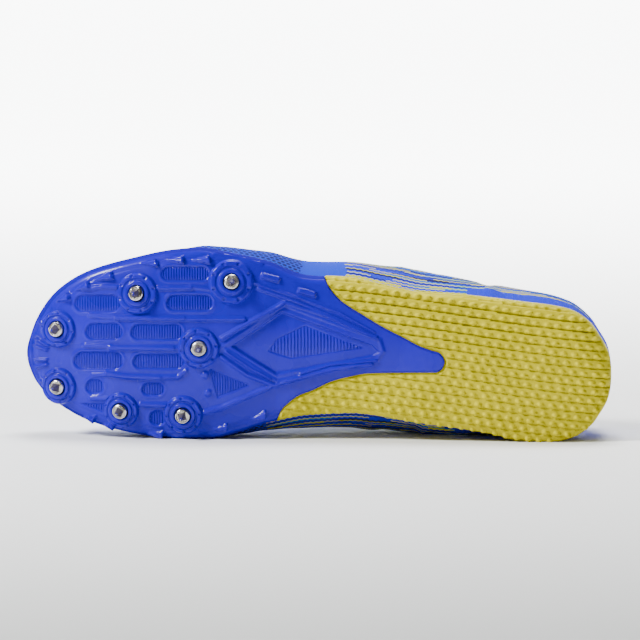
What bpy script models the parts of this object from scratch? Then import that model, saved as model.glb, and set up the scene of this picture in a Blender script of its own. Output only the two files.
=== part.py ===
"""A left track spike shoe, lying on its medial side: knit upper, foam midsole, spike plate and spikes.

The shoe is worked out standing: x runs from the heel to the toe, y to the outer (lateral) side, z up from
the ground. An empty then lays it on its side, with the sole's edge and the upper on the floor.
"""
import math

import bmesh
import bpy
from mathutils import Matrix, Vector

# Driving dimensions, in metres
LENGTH = 0.280
BALL_WIDTH = 0.0916
HEEL_HEIGHT = 0.077
INSTEP_HEIGHT = 0.088
TOE_SPRING = 0.022
HEEL_STACK = 0.0135
SOLE_EDGE_RADIUS = 0.004
UPPER_WALL = 0.0018
UPPER_INSET = 0.0012
UPPER_TUCK = 0.0022
TONGUE_THICKNESS = 0.0032
TONGUE_RISE = 0.012
INSOLE_THICKNESS = 0.003
INSOLE_CLEARANCE = 0.0052
PLATE_THICKNESS = 0.0022
PLATE_RIM = 0.0056
PLATE_PROUD = 0.0008
RIDGE_HEIGHT = 0.0022
RIDGE_WIDTH = 0.0022
RIDGE_STEP = 0.018
LUG_HEIGHT = 0.0026
SPIKE_LENGTH = 0.009
SPIKE_RADIUS = 0.0028
BOSS_RADIUS = 0.0098
BOSS_HEIGHT = 0.0034
SOCKET_DEPTH = 0.0022
LACE_RADIUS = 0.0012
EYELET_RADIUS = 0.002
EYELET_INSET = 0.007
EYELET_PAIRS = 6
GAP = 0.0003
REST_LEAN = math.radians(1.0)
REST_BITE = 0.0005
NORMAL_STEP = 0.002
SOLE_HALF_LEAST = 0.004
TOE_ROUNDING = 0.004
PUSH_RANGE = (-0.02, 0.06)
OVERHANG_LEAST = 0.0002
FOOTBED_INSET = 0.004
INSOLE_RING = 0.003
TONGUE_INSETS = (0.0155, 0.010, 0.005, 0.0005)
TONGUE_CLEARANCE = 0.0012
TONGUE_LIFT = 0.001
LACE_LIFT = 0.0010
LACE_EDGE_INSET = 0.0012
LACE_EDGE_LIFT = 0.0013
LACE_CLEARANCE = 0.0012
COLLAR_RISE = 0.0006
COLLAR_BEVEL = 0.0006
SPIKE_POINT = 0.0003
FLOOR_DEPTH = 0.1

# Places along the shoe, as shares of its length
HEEL_REST = .107
BALL_REST = .70
EYELET_FRONT = .625
EYELET_BACK = .425
TOE_ROUND_START = .9
TUCK_START = .66
TUCK_RUN = .08
TUCK_END = .03
TONGUE_STATIONS = (.650, .622, .590, .555, .520, .485, .450, .420)

# Stations along the shoe, as shares of its length
STATIONS = (0, .005, .018, .04, .071, .114, .164, .214, .264, .314, .357, .386, .407, .443, .486, .529,
            .571, .607, .636, .654, .664, .693, .729, .771, .821, .871, .914, .95, .975, .991, .998, 1)

# Sole: lateral and medial edges as shares of the ball width, ground line and edge lift as shares of the toe
# spring, and thickness as a share of the heel stack
SOLE_COLUMNS = ("along", "lateral", "medial", "ground", "lift", "thickness")
SOLE = (
    (0, -.170, -.170, .24, 0, 1),
    (.005, -.052, -.285, .18, .01, 1),
    (.018, .024, -.362, .14, .02, 1),
    (.036, .104, -.434, .08, .03, 1),
    (.071, .174, -.497, .02, .04, 1),
    (.107, .198, -.519, 0, .05, 1),
    (.150, .214, -.515, 0, .06, 1),
    (.204, .235, -.474, 0, .07, .98),
    (.257, .252, -.447, 0, .09, .95),
    (.329, .265, -.418, .03, .11, .90),
    (.393, .306, -.384, .07, .13, .84),
    (.446, .340, -.368, .10, .15, .78),
    (.518, .353, -.376, .10, .17, .70),
    (.589, .430, -.421, .06, .19, .66),
    (.661, .480, -.489, 0, .21, .62),
    (.700, .500, -.508, 0, .21, .61),
    (.743, .490, -.505, .05, .20, .60),
    (.818, .441, -.478, .22, .17, .59),
    (.893, .369, -.418, .48, .12, .58),
    (.946, .265, -.334, .74, .07, .57),
    (.982, .115, -.231, .92, .03, .56),
    (.995, .010, -.150, .98, .01, .56),
    (1, -.067, -.067, 1, 0, .56),
)

# Upper: overhang past the sole's edge on each side as shares of the ball width, height of its top edge or
# ridge as a share of the instep, half opening and ridge place as shares of the ball width, and the slope of
# the top edge, 0 flat to 1 upright
UPPER_COLUMNS = ("along", "out_lateral", "out_medial", "top", "opening", "ridge", "upright")
UPPER = (
    (0, .010, .010, .875, 0, -.170, 1),
    (.018, .006, .020, .865, .105, -.150, 1),
    (.04, .008, .028, .835, .175, -.140, 1),
    (.071, .018, .014, .78, .225, -.130, .95),
    (.114, .030, .004, .72, .27, -.125, .92),
    (.164, .034, .012, .69, .31, -.115, .9),
    (.214, .040, .051, .70, .335, -.11, .88),
    (.264, .052, .068, .76, .335, -.10, .85),
    (.314, .070, .088, .84, .325, -.09, .8),
    (.357, .078, .106, .92, .285, -.08, .76),
    (.386, .066, .116, .975, .225, -.07, .72),
    (.407, .060, .124, .985, .190, -.06, .68),
    (.443, .052, .120, .955, .170, -.05, .62),
    (.486, .048, .112, .89, .155, -.04, .56),
    (.529, .046, .104, .835, .140, -.03, .5),
    (.571, .034, .080, .785, .125, -.02, .44),
    (.607, .022, .056, .742, .110, -.015, .36),
    (.636, .014, .036, .712, .086, -.01, .24),
    (.654, .010, .023, .696, .045, -.01, .1),
    (.664, .008, .016, .688, 0, -.01, 0),
    (.693, .006, .004, .664, 0, -.01, 0),
    (.771, .004, .009, .632, 0, -.015, 0),
    (.821, .002, .006, .620, 0, -.02, 0),
    (.914, 0, 0, .598, 0, -.035, 0),
    (.95, 0, 0, .568, 0, -.045, 0),
    (.975, 0, 0, .515, 0, -.055, 0),
    (.991, 0, 0, .440, 0, -.062, 0),
    (1, 0, 0, .350, 0, -.067, 0),
)

# Back of the heel: how far it stands in from its fullest point, by height
HEEL_BACK = ((0, 0), (.2, 0), (.45, 0), (.65, .35), (.82, .9), (.92, 1), (1, .85))
HEEL_BACK_DEPTH = 0.005
HEEL_BACK_REACH = 0.055

# Spike plate behind the ball: its free edge, as shares of the length and the ball width
PLATE_TAIL_LATERAL = ((.2857, -.099), (.303, -.037), (.327, -.011), (.352, .029), (.389, .087), (.427, .156),
                      (.464, .232), (.486, .309), (.4895, .345))
PLATE_TAIL_MEDIAL = ((.2857, -.099), (.301, -.146), (.345, -.147), (.382, -.149), (.418, -.153),
                     (.446, -.169), (.475, -.192), (.511, -.243), (.535, -.273), (.5525, -.313),
                     (.564, -.350), (.5715, -.400))
PLATE_STATIONS = (.2857, .290, .301, .315, .33, .352, .37, .389, .408, .427, .446, .464, .478, .4845, .4895,
                  .500, .513, .535, .5525, .564, .5715, .58, .60, .636, .664, .693, .729, .771, .821, .871, .914,
                  .95, .975, .991, .998, 1)

# Spikes, as shares of the length and the ball width
SPIKE_PLACES = ((.945, .064), (.944, -.236), (.837, -.352), (.731, -.369), (.704, -.017), (.809, .262),
                (.649, .326))

# Ridges of the plate: runs of points as shares of the length and the ball width
RIDGES = {
    "outer_front": ((.902, .282), (.845, .300)),
    "outer_rear": ((.772, .294), (.715, .294), (.684, .322)),
    "inner_lateral": ((.866, .149), (.780, .143), (.655, .140)),
    "centre_front": ((.897, 0), (.780, -.012), (.737, -.020)),
    "inner_medial": ((.863, -.154), (.780, -.164), (.735, -.166), (.722, -.150)),
    "edge_medial": ((.805, -.312), (.762, -.318)),
    "diamond_outer": ((.667, .033), (.612, .146), (.558, .224), (.480, .135), (.402, .049)),
    "diamond_inner": ((.668, -.066), (.622, -.125), (.576, -.208), (.528, -.167), (.478, -.120),
                      (.412, -.102)),
    "recess_outer": ((.648, -.005), (.606, .090), (.562, .172), (.480, .066), (.400, -.032)),
    "recess_inner": ((.648, -.005), (.610, -.090), (.572, -.154), (.500, -.108), (.400, -.036)),
    "bridge_outer": ((.625, .364), (.560, .275), (.480, .168), (.402, .090)),
    "arch_medial": ((.695, -.349), (.640, -.290), (.583, -.219)),
}

# Lugs at the plate's edge: place, length along the shoe, width, turn in degrees, narrowing towards the toe
LUG_COLUMNS = ("along", "across", "long", "wide", "turn", "narrow")
LUGS = (
    (.937, .247, .013, .0036, -40, .3),
    (.902, .309, .013, .0036, -24, .3),
    (.865, .358, .013, .0036, -16, .3),
    (.786, .425, .012, .0034, -8, .3),
    (.744, .446, .012, .0034, 0, .3),
    (.697, .442, .012, .0034, 4, .3),
    (.581, .353, .010, .0024, 22, 1),
    (.519, .271, .010, .0024, 30, 1),
    (.893, -.383, .012, .0036, 26, .3),
    (.857, -.417, .012, .0036, 16, .3),
    (.778, -.467, .012, .0036, 8, .3),
    (.671, -.437, .012, .0036, -10, .3),
    (.603, -.367, .012, .0036, -24, .3),
)


def interpolate(rows, place, along):
    """Value of one column at a share of the length, on a monotone curve through its rows.

    Rows are spread by the angle whose cosine gives their place, so that round ends stay round.
    """
    angles = [math.acos(1 - 2 * min(max(row[0], 0), 1)) for row in rows]
    values = [row[place] for row in rows]
    angle = math.acos(1 - 2 * min(max(along, 0), 1))
    steps = [b - a for a, b in zip(angles, angles[1:])]
    slopes = [(b - a) / step for a, b, step in zip(values, values[1:], steps)]
    tangents = [slopes[0]]
    for before, after, left, right in zip(slopes, slopes[1:], steps, steps[1:]):
        if before * after <= 0:
            tangents.append(0)
        else:
            weight_before, weight_after = 2 * right + left, right + 2 * left
            tangents.append((weight_before + weight_after) / (weight_before / before + weight_after / after))
    tangents.append(slopes[-1])
    k = max(i for i in range(len(steps)) if angles[i] <= angle or i == 0)
    u = (angle - angles[k]) / steps[k]
    return (values[k] * (1 + 2 * u) * (1 - u) ** 2 + values[k + 1] * u * u * (3 - 2 * u)
            + steps[k] * (tangents[k] * u * (1 - u) ** 2 - tangents[k + 1] * u * u * (1 - u)))


def sole(name, along):
    return interpolate(SOLE, SOLE_COLUMNS.index(name), along)


def upper(name, along):
    return interpolate(UPPER, UPPER_COLUMNS.index(name), along)


def straight(rows, column, value):
    """Value of a column by straight lines between rows, in the first column's order."""
    for low, high in zip(rows, rows[1:]):
        if low[0] <= value <= high[0]:
            return low[column] + (high[column] - low[column]) * (value - low[0]) / (high[0] - low[0])
    return rows[0][column] if value < rows[0][0] else rows[-1][column]


def ground(x, y):
    """Height of the sole's underside at a place, before its edge is rounded."""
    along = x / LENGTH
    outer, inner = sole("lateral", along) * BALL_WIDTH, sole("medial", along) * BALL_WIDTH
    half = max((outer - inner) / 2, SOLE_HALF_LEAST)
    off = min(abs(y - (outer + inner) / 2) / half, 1.1)
    return TOE_SPRING * (sole("ground", along) + sole("lift", along) * off ** 2)


def down(x, y):
    """Direction out of the sole's underside at a place."""
    step = NORMAL_STEP
    slope_x = (ground(x + step, y) - ground(x - step, y)) / (2 * step)
    slope_y = (ground(x, y + step) - ground(x, y - step)) / (2 * step)
    return Vector((slope_x, slope_y, -1)).normalized()


def edge(side, along):
    """Point of the sole's outline seen from below."""
    return Vector((along * LENGTH, sole(side, along) * BALL_WIDTH, 0))


def outward(side, along):
    """Direction out of the sole's outline at a station."""
    if along <= 0 or along >= 1:
        return Vector((-1 if along <= 0 else 1, 0, 0))
    step = min(0.006, along * 0.5, (1 - along) * 0.5)
    run = edge(side, along + step) - edge(side, along - step)
    turned = Vector((-run.y, run.x, 0)) if side == "lateral" else Vector((run.y, -run.x, 0))
    return turned.normalized()


def edge_lift(distance):
    """How much the rounded edge rises at a distance from the outline."""
    rest = max(SOLE_EDGE_RADIUS - distance, 0)
    return SOLE_EDGE_RADIUS - math.sqrt(max(SOLE_EDGE_RADIUS ** 2 - rest ** 2, 0))


def loop_order(stations):
    """Sides and stations once round the outline: heel, lateral side, toe, medial side."""
    return ([("lateral", along) for along in stations]
            + [("medial", along) for along in reversed(stations[1:-1])])


def mesh_object(name, bm, collection):
    """Object from a mesh, with its normals outwards."""
    bmesh.ops.recalc_face_normals(bm, faces=bm.faces)
    mesh = bpy.data.meshes.new(name)
    bm.to_mesh(mesh)
    bm.free()
    item = bpy.data.objects.new(name, mesh)
    collection.objects.link(item)
    return item


def ring_solid(name, rings, ribs_low, ribs_high, stations, across, collection):
    """Closed solid from rings round the outline, with ribs that fill its underside and its top.

    rings run from the underside's inner ring to the top's inner ring. ribs give the height of the fill
    between the two sides of a station.
    """
    bm = bmesh.new()
    count = len(loop_order(stations))
    loops = [[bm.verts.new(point) for point in ring] for ring in rings]
    for low, high in zip(loops, loops[1:]):
        for i in range(count):
            j = (i + 1) % count
            bm.faces.new((low[i], low[j], high[j], high[i]))
    for loop, height in ((loops[0], ribs_low), (loops[-1], ribs_high)):
        rows = [[loop[0]]]
        for i in range(1, len(stations) - 1):
            first, last = loop[i], loop[count - i]
            row = [first]
            for k in range(1, across):
                point = first.co.lerp(last.co, k / across)
                point.z = height(point.x, point.y)
                row.append(bm.verts.new(point))
            rows.append(row + [last])
        rows.append([loop[len(stations) - 1]])
        for one, two in zip(rows, rows[1:]):
            for k in range(across):
                corners = [one[min(k, len(one) - 1)], one[min(k + 1, len(one) - 1)],
                           two[min(k + 1, len(two) - 1)], two[min(k, len(two) - 1)]]
                unique = list(dict.fromkeys(corners))
                bm.faces.new(unique)
    return mesh_object(name, bm, collection)


def midsole_top(x, y):
    """Height of the midsole's footbed."""
    return ground(x, y) + HEEL_STACK * sole("thickness", x / LENGTH)


def rings_from(stations, edge_of, outward_of, profile):
    """Rings round an outline: a list of rings from the insets and heights that profile gives a place."""
    rings = []
    for side, along in loop_order(stations):
        base, out = edge_of(side, along), outward_of(side, along)
        for number, (inset, height) in enumerate(profile(side, along)):
            point = base - out * inset
            point.z = height(point.x, point.y)
            if len(rings) <= number:
                rings.append([])
            rings[number].append(point)
    return rings


def raised(base, rise):
    """Height function a fixed rise above another."""
    return lambda x, y: base(x, y) + rise


def make_midsole(collection):
    """Foam midsole with a rounded lower edge, a side that swells a little and a dished footbed."""
    corner = SOLE_EDGE_RADIUS * 0.35

    def side_height(share):
        def height(x, y):
            low, high = ground(x, y) + SOLE_EDGE_RADIUS, midsole_top(x, y)
            return low + (high - low) * share
        return height

    def profile(side, along):
        return ((SOLE_EDGE_RADIUS, ground), (corner, raised(ground, edge_lift(corner))),
                (0, side_height(0)), (-corner * 0.2, side_height(0.45)), (corner * 0.3, side_height(1)),
                (UPPER_INSET + UPPER_WALL + FOOTBED_INSET, midsole_top))

    rings = rings_from(STATIONS, edge, outward, profile)
    return ring_solid("midsole", rings, ground, midsole_top, STATIONS, 5, collection)


def make_insole(collection):
    """Fabric-covered footbed sheet that lies in the upper on the midsole."""
    inset = UPPER_INSET + UPPER_WALL + INSOLE_CLEARANCE
    low, high = raised(midsole_top, GAP * 1.5), raised(midsole_top, GAP * 1.5 + INSOLE_THICKNESS)

    def profile(side, along):
        return (inset + INSOLE_RING, low), (inset, low), (inset, high), (inset + INSOLE_RING, high)

    rings = rings_from(STATIONS, edge, outward, profile)
    return ring_solid("insole", rings, low, high, STATIONS, 3, collection)


def foot_of_upper(side, along):
    """Where the upper's wall stands on the midsole's edge, tucked in beside the outer toes."""
    tuck = 0
    if side == "lateral":
        tuck = UPPER_TUCK * min(max((along - TUCK_START) / TUCK_RUN, 0), 1, (1 - along) / TUCK_END)
    point = edge(side, along) - outward(side, along) * (UPPER_INSET + tuck)
    point.z = midsole_top(point.x, point.y) + GAP * 2
    return point


def heel_inset(height):
    """How far the back of the heel stands in at a height."""
    share = (height - HEEL_STACK) / (HEEL_HEIGHT - HEEL_STACK)
    return HEEL_BACK_DEPTH * straight(HEEL_BACK, 1, min(max(share, 0), 1))


def top_of_upper(side, along):
    """Point of the collar, the throat's edge or the ridge over the toes."""
    sign = 1 if side == "lateral" else -1
    x = along * LENGTH
    y = (upper("ridge", along) + sign * upper("opening", along)) * BALL_WIDTH
    tip = max(along - TOE_ROUND_START, 0) / (1 - TOE_ROUND_START)
    return Vector((x - TOE_ROUNDING * tip ** 3, y, upper("top", along) * INSTEP_HEIGHT))


def upper_side(side, along, steps):
    """Points of the upper's outer face from the sole's edge to its top, on one side of a station."""
    low, high = foot_of_upper(side, along), top_of_upper(side, along)
    out = outward(side, along)
    overhang = max(upper("out_" + side, along) * BALL_WIDTH + UPPER_INSET, OVERHANG_LEAST)
    tall = high.z - low.z
    upright = upper("upright", along)
    reach = (low - high).to_2d().length
    inwards = (high - low).to_2d()
    direction = -inwards.normalized() if inwards.length > 1e-6 else out.to_2d()
    handle = 0.62 * reach * (1 - upright) + 0.45 * tall * upright
    lean = math.radians(8 + 66 * upright)
    top_handle = high + Vector((direction.x * math.cos(lean), direction.y * math.cos(lean),
                                -math.sin(lean))) * handle

    def curve(push):
        low_handle = low + out * push + Vector((0, 0, tall * (0.42 + 0.12 * (1 - upright))))
        points = []
        for k in range(steps + 1):
            u = k / steps
            points.append(low * (1 - u) ** 3 + low_handle * 3 * u * (1 - u) ** 2
                          + top_handle * 3 * u * u * (1 - u) + high * u ** 3)
        return points

    least, most = PUSH_RANGE
    for _ in range(24):
        middle = (least + most) / 2
        fullest = max((point - low).dot(out) for point in curve(middle))
        least, most = (middle, most) if fullest < overhang else (least, middle)
    points = curve((least + most) / 2)
    near_heel = max(1 - along * LENGTH / HEEL_BACK_REACH, 0) ** 1.5
    for point in points:
        point.x += heel_inset(point.z) * near_heel
    return points


def shell_from_rows(name, rows, thickness, collection):
    """Shell with its wall inwards, from an open grid of outer points."""
    bm = bmesh.new()
    grid = [[bm.verts.new(point) for point in row] for row in rows]
    for one, two in zip(grid, grid[1:]):
        for k in range(len(one) - 1):
            bm.faces.new((one[k], two[k], two[k + 1], one[k + 1]))
    bmesh.ops.remove_doubles(bm, verts=bm.verts, dist=0.00005)
    item = mesh_object(name, bm, collection)
    wall = item.modifiers.new("wall", "SOLIDIFY")
    wall.thickness = thickness
    wall.offset = -1
    wall.use_even_offset = True
    wall.use_quality_normals = True
    return item


def make_upper(collection):
    """Knit upper: one hollow wall, open underneath, at the collar and at the throat."""
    steps = 8
    bm = bmesh.new()
    for side, flip in (("lateral", False), ("medial", True)):
        grid = [[bm.verts.new(point) for point in upper_side(side, along, steps)] for along in STATIONS]
        for one, two in zip(grid, grid[1:]):
            for k in range(steps):
                corners = (one[k], two[k], two[k + 1], one[k + 1])
                bm.faces.new(reversed(corners) if flip else corners)
    bmesh.ops.remove_doubles(bm, verts=bm.verts, dist=0.00005)
    item = mesh_object("upper", bm, collection)
    wall = item.modifiers.new("wall", "SOLIDIFY")
    wall.thickness = UPPER_WALL
    wall.offset = -1
    wall.use_even_offset = True
    return item


def eyelet_rows():
    """Stations of the lace's rows, front to top."""
    return [EYELET_FRONT + (EYELET_BACK - EYELET_FRONT) * k / (EYELET_PAIRS - 1) for k in range(EYELET_PAIRS)]


def surface_point(side, along, inset):
    """Point of the upper's outer face at a distance down from its top edge, with its outward direction."""
    points = upper_side(side, along, 40)
    points.reverse()
    gone = 0
    for one, two in zip(points, points[1:]):
        step = (two - one).length
        if gone + step >= inset:
            point = one.lerp(two, (inset - gone) / step)
            run = (two - one).normalized()
            turn = Vector((0, -run.z, run.y)) if side == "medial" else Vector((0, -run.z, run.y)) * -1
            turn = turn if turn.z > 0 else -turn
            return point, turn.normalized()
        gone += step
    return points[-1], Vector((0, 0, 1))


def make_eyelet_cutter(cutters):
    """Cylinders through the upper's wall at the eyelets."""
    bm = bmesh.new()
    for along in eyelet_rows():
        for side in ("lateral", "medial"):
            point, turn = surface_point(side, along, EYELET_INSET)
            place = Matrix.Translation(point) @ turn.to_track_quat("Z", "Y").to_matrix().to_4x4()
            bmesh.ops.create_cone(bm, cap_ends=True, segments=8, radius1=EYELET_RADIUS,
                                  radius2=EYELET_RADIUS, depth=UPPER_WALL * 5, matrix=place)
    return mesh_object("eyelet_cutter", bm, cutters)


def tongue_row(along):
    """Points across the tongue's outer face, held under the upper by the wall and a clearance."""
    drop = UPPER_WALL + TONGUE_CLEARANCE
    sides = {}
    for side in ("medial", "lateral"):
        points = []
        for inset in TONGUE_INSETS:
            point, turn = surface_point(side, along, inset)
            points.append(point - turn * drop)
        sides[side] = points
    one, two = sides["medial"][-1], sides["lateral"][-1]
    width = two.y - one.y
    crown = 0.16 * width
    middle = []
    for k in range(1, 6):
        u = k / 6
        point = one.lerp(two, u)
        point.z += 4 * crown * u * (1 - u)
        middle.append(point)
    return sides["medial"] + middle + sides["lateral"][::-1]


def make_tongue(collection):
    """Tongue: a curved sheet under the throat that rises above the top eyelets."""
    rows = [tongue_row(along) for along in TONGUE_STATIONS]
    last = rows[-1]
    run = (Vector(last[6]) - Vector(rows[-2][6])).normalized()
    for step, narrow in ((0.45, .97), (0.85, .90), (1.0, .78)):
        row = []
        centre = last[6].copy()
        for point in last:
            offset = point - centre
            offset.y *= narrow
            offset.z *= narrow
            row.append(centre + offset + run * TONGUE_RISE * step + Vector((0, 0, TONGUE_LIFT * step)))
        rows.append(row)
    return shell_from_rows("tongue", [row[::-1] for row in rows], TONGUE_THICKNESS, collection)


def tube(name, points, radius, collection):
    """Tube along points, as a mesh with closed ends."""
    curve = bpy.data.curves.new(name, "CURVE")
    curve.dimensions = "3D"
    curve.bevel_depth = radius
    curve.bevel_resolution = 0
    curve.use_fill_caps = True
    spline = curve.splines.new("POLY")
    spline.points.add(len(points) - 1)
    for target, point in zip(spline.points, points):
        target.co = (*point, 1)
    source = bpy.data.objects.new(name + "_curve", curve)
    collection.objects.link(source)
    bpy.context.view_layer.update()
    mesh = bpy.data.meshes.new_from_object(source.evaluated_get(bpy.context.evaluated_depsgraph_get()))
    bm = bmesh.new()
    bm.from_mesh(mesh)
    bmesh.ops.remove_doubles(bm, verts=bm.verts, dist=0.00001)
    bpy.data.objects.remove(source)
    bpy.data.meshes.remove(mesh)
    return mesh_object(name, bm, collection)


def lace_point(side, along):
    """End of a crossing, just above an eyelet."""
    point, turn = surface_point(side, along, EYELET_INSET)
    return point + turn * (LACE_RADIUS + LACE_LIFT)


def edge_point(side, along):
    """Point of a crossing just above the throat's edge."""
    point, turn = surface_point(side, along, LACE_EDGE_INSET)
    return point + turn * (LACE_RADIUS + LACE_EDGE_LIFT)


def make_laces(collection, cutters):
    """Lace: a bar at the front and crossings over the tongue, joined where they cross."""
    rows = eyelet_rows()
    clear = LACE_RADIUS + LACE_CLEARANCE
    pairs = [("lateral", rows[0], "medial", rows[0])]
    for front, back in zip(rows, rows[1:]):
        pairs.append(("lateral", front, "medial", back))
        pairs.append(("medial", front, "lateral", back))
    strands = []
    for number, (side_a, front, side_b, back) in enumerate(pairs):
        start, end = lace_point(side_a, front), lace_point(side_b, back)
        over_a = edge_point(side_a, front + (back - front) * 0.22)
        over_b = edge_point(side_b, front + (back - front) * 0.78)
        crest = (over_a + over_b) / 2
        crest.z = tongue_row((front + back) / 2)[6].z + clear
        start += (start - over_a).normalized() * LACE_RADIUS
        end += (end - over_b).normalized() * LACE_RADIUS
        points = (start, over_a, crest, over_b, end)
        strands.append(tube(f"lace_strand_{number}", points, LACE_RADIUS, cutters))
    joined = strands[0]
    joined.name = joined.data.name = "laces"
    cutters.objects.unlink(joined)
    collection.objects.link(joined)
    knots = bpy.data.collections.new("lace_strands")
    cutters.children.link(knots)
    for item in strands[1:]:
        cutters.objects.unlink(item)
        knots.objects.link(item)
    union = joined.modifiers.new("crossings", "BOOLEAN")
    union.operation = "UNION"
    union.operand_type = "COLLECTION"
    union.collection = knots
    return joined


def plate_edge(side, along):
    """The plate's edge on one side: its free tail edge, then the sole's outline."""
    rows = PLATE_TAIL_LATERAL if side == "lateral" else PLATE_TAIL_MEDIAL
    if along >= rows[-1][0]:
        return edge(side, along)
    return Vector((along * LENGTH, straight(rows, 1, along) * BALL_WIDTH, 0))


def plate_outward(side, along):
    """Direction out of the plate's outline at a station."""
    tip = PLATE_STATIONS[0]
    rows = PLATE_TAIL_LATERAL if side == "lateral" else PLATE_TAIL_MEDIAL
    if along <= tip:
        return Vector((-1, 0, 0))
    if along >= rows[-1][0]:
        return outward(side, along)
    step = min(0.004, (along - tip) * 0.5, (1 - along) * 0.5)
    run = plate_edge(side, along + step) - plate_edge(side, along - step)
    turned = Vector((-run.y, run.x, 0)) if side == "lateral" else Vector((run.y, -run.x, 0))
    return turned.normalized()


def plate_body(name, grow, collection):
    """The plate's tray: a rim round the forefoot and a flat bevelled edge round the tail."""
    corner = SOLE_EDGE_RADIUS * 0.35
    inner_corner = SOLE_EDGE_RADIUS * 0.7

    def profile(side, along):
        rows = PLATE_TAIL_LATERAL if side == "lateral" else PLATE_TAIL_MEDIAL
        low = raised(ground, -grow)
        high = raised(ground, PLATE_THICKNESS + grow)
        if along >= rows[-1][0]:
            top = raised(ground, PLATE_RIM + grow * 2)
            wall = PLATE_THICKNESS + grow * 3
            out = grow * 5
            return ((SOLE_EDGE_RADIUS - out, low), (corner - out, raised(low, edge_lift(corner))),
                    (-out, raised(low, SOLE_EDGE_RADIUS)), (-out, top), (wall, top),
                    (wall, raised(high, inner_corner)), (wall + inner_corner, high))
        under = raised(ground, -PLATE_PROUD - grow)
        bevel = PLATE_PROUD
        return ((bevel * 2 - grow, under), (bevel - grow, under), (-grow, raised(under, bevel)),
                (-grow, raised(high, -bevel * 0.5)), (-grow + bevel * 0.5, high), (bevel - grow, high),
                (bevel * 2 - grow, high))

    def low_fill(x, y):
        along = x / LENGTH
        tail = min(max((PLATE_TAIL_MEDIAL[-1][0] - along) / 0.03, 0), 1)
        return ground(x, y) - PLATE_PROUD * tail - grow

    rings = rings_from(PLATE_STATIONS, plate_edge, plate_outward, profile)
    return ring_solid(name, rings, low_fill, raised(ground, PLATE_THICKNESS + grow), PLATE_STATIONS, 5,
                      collection)


def on_sole(along, across):
    """Point of the sole's underside at shares of the length and the ball width."""
    x, y = along * LENGTH, across * BALL_WIDTH
    return Vector((x, y, ground(x, y)))


def prism(bm, sections):
    """Closed solid through sections of equal count, with ends."""
    rings = [[bm.verts.new(point) for point in section] for section in sections]
    count = len(rings[0])
    for one, two in zip(rings, rings[1:]):
        for i in range(count):
            j = (i + 1) % count
            bm.faces.new((one[i], one[j], two[j], two[i]))
    bm.faces.new(rings[0][::-1])
    bm.faces.new(rings[-1])


def ridge(name, run, collection):
    """Ridge along a run of points: a bar with a narrower crest, set into the plate."""
    points = []
    for one, two in zip(run, run[1:]):
        start, end = Vector((one[0] * LENGTH, one[1] * BALL_WIDTH)), Vector((two[0] * LENGTH,
                                                                            two[1] * BALL_WIDTH))
        pieces = max(round((end - start).length / RIDGE_STEP), 1)
        points += [start.lerp(end, k / pieces) for k in range(pieces)]
    points.append(end)
    sections = []
    for k, point in enumerate(points):
        run_here = (points[min(k + 1, len(points) - 1)] - points[max(k - 1, 0)]).normalized()
        aside = Vector((-run_here.y, run_here.x))
        section = []
        for offset, drop in ((0.5, -PLATE_THICKNESS * 0.5), (-0.5, -PLATE_THICKNESS * 0.5),
                             (-0.3, RIDGE_HEIGHT), (0.3, RIDGE_HEIGHT)):
            place = point + aside * offset * RIDGE_WIDTH
            section.append(Vector((place.x, place.y, ground(place.x, place.y) - drop)))
        sections.append(section)
    bm = bmesh.new()
    prism(bm, sections)
    return mesh_object(name, bm, collection)


def lug(name, row, collection):
    """Lug at the plate's edge: a bar or a wedge that narrows towards the toe."""
    values = dict(zip(LUG_COLUMNS, row))
    centre = Vector((values["along"] * LENGTH, values["across"] * BALL_WIDTH))
    turn = math.radians(values["turn"])
    run, aside = Vector((math.cos(turn), math.sin(turn))), Vector((-math.sin(turn), math.cos(turn)))
    sections = []
    for drop, shrink in ((-PLATE_THICKNESS * 0.5, 1), (LUG_HEIGHT, 0.72)):
        section = []
        for forward, sideways, share in ((-1, -1, 1), (1, -1, values["narrow"]), (1, 1, values["narrow"]),
                                         (-1, 1, 1)):
            place = (centre + run * forward * values["long"] * 0.5 * shrink
                     + aside * sideways * values["wide"] * 0.5 * share * shrink)
            section.append(Vector((place.x, place.y, ground(place.x, place.y) - drop)))
        sections.append(section)
    bm = bmesh.new()
    prism(bm, sections)
    return mesh_object(name, bm, collection)


def seat(place):
    """Frame of a spike: origin on the plate's underside, its Z out of the sole."""
    point = on_sole(*place)
    turn = down(point.x, point.y).to_track_quat("Z", "Y").to_matrix().to_4x4()
    return Matrix.Translation(point) @ turn


def turned(name, profile, steps, place, collection):
    """Round solid from a profile of radius and height, turned about its Z and set in place."""
    mesh = bpy.data.meshes.new(name)
    points = [(radius, 0, height) for radius, height in profile]
    mesh.from_pydata(points, [(k, k + 1) for k in range(len(points) - 1)], [])
    source = bpy.data.objects.new(name + "_profile", mesh)
    collection.objects.link(source)
    screw = source.modifiers.new("turn", "SCREW")
    screw.steps = screw.render_steps = steps
    screw.use_merge_vertices = True
    screw.merge_threshold = 0.00001
    bpy.context.view_layer.update()
    solid = bpy.data.meshes.new_from_object(source.evaluated_get(bpy.context.evaluated_depsgraph_get()))
    bm = bmesh.new()
    bm.from_mesh(solid)
    bmesh.ops.transform(bm, matrix=place, verts=bm.verts)
    bpy.data.objects.remove(source)
    bpy.data.meshes.remove(solid)
    return mesh_object(name, bm, collection)


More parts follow.
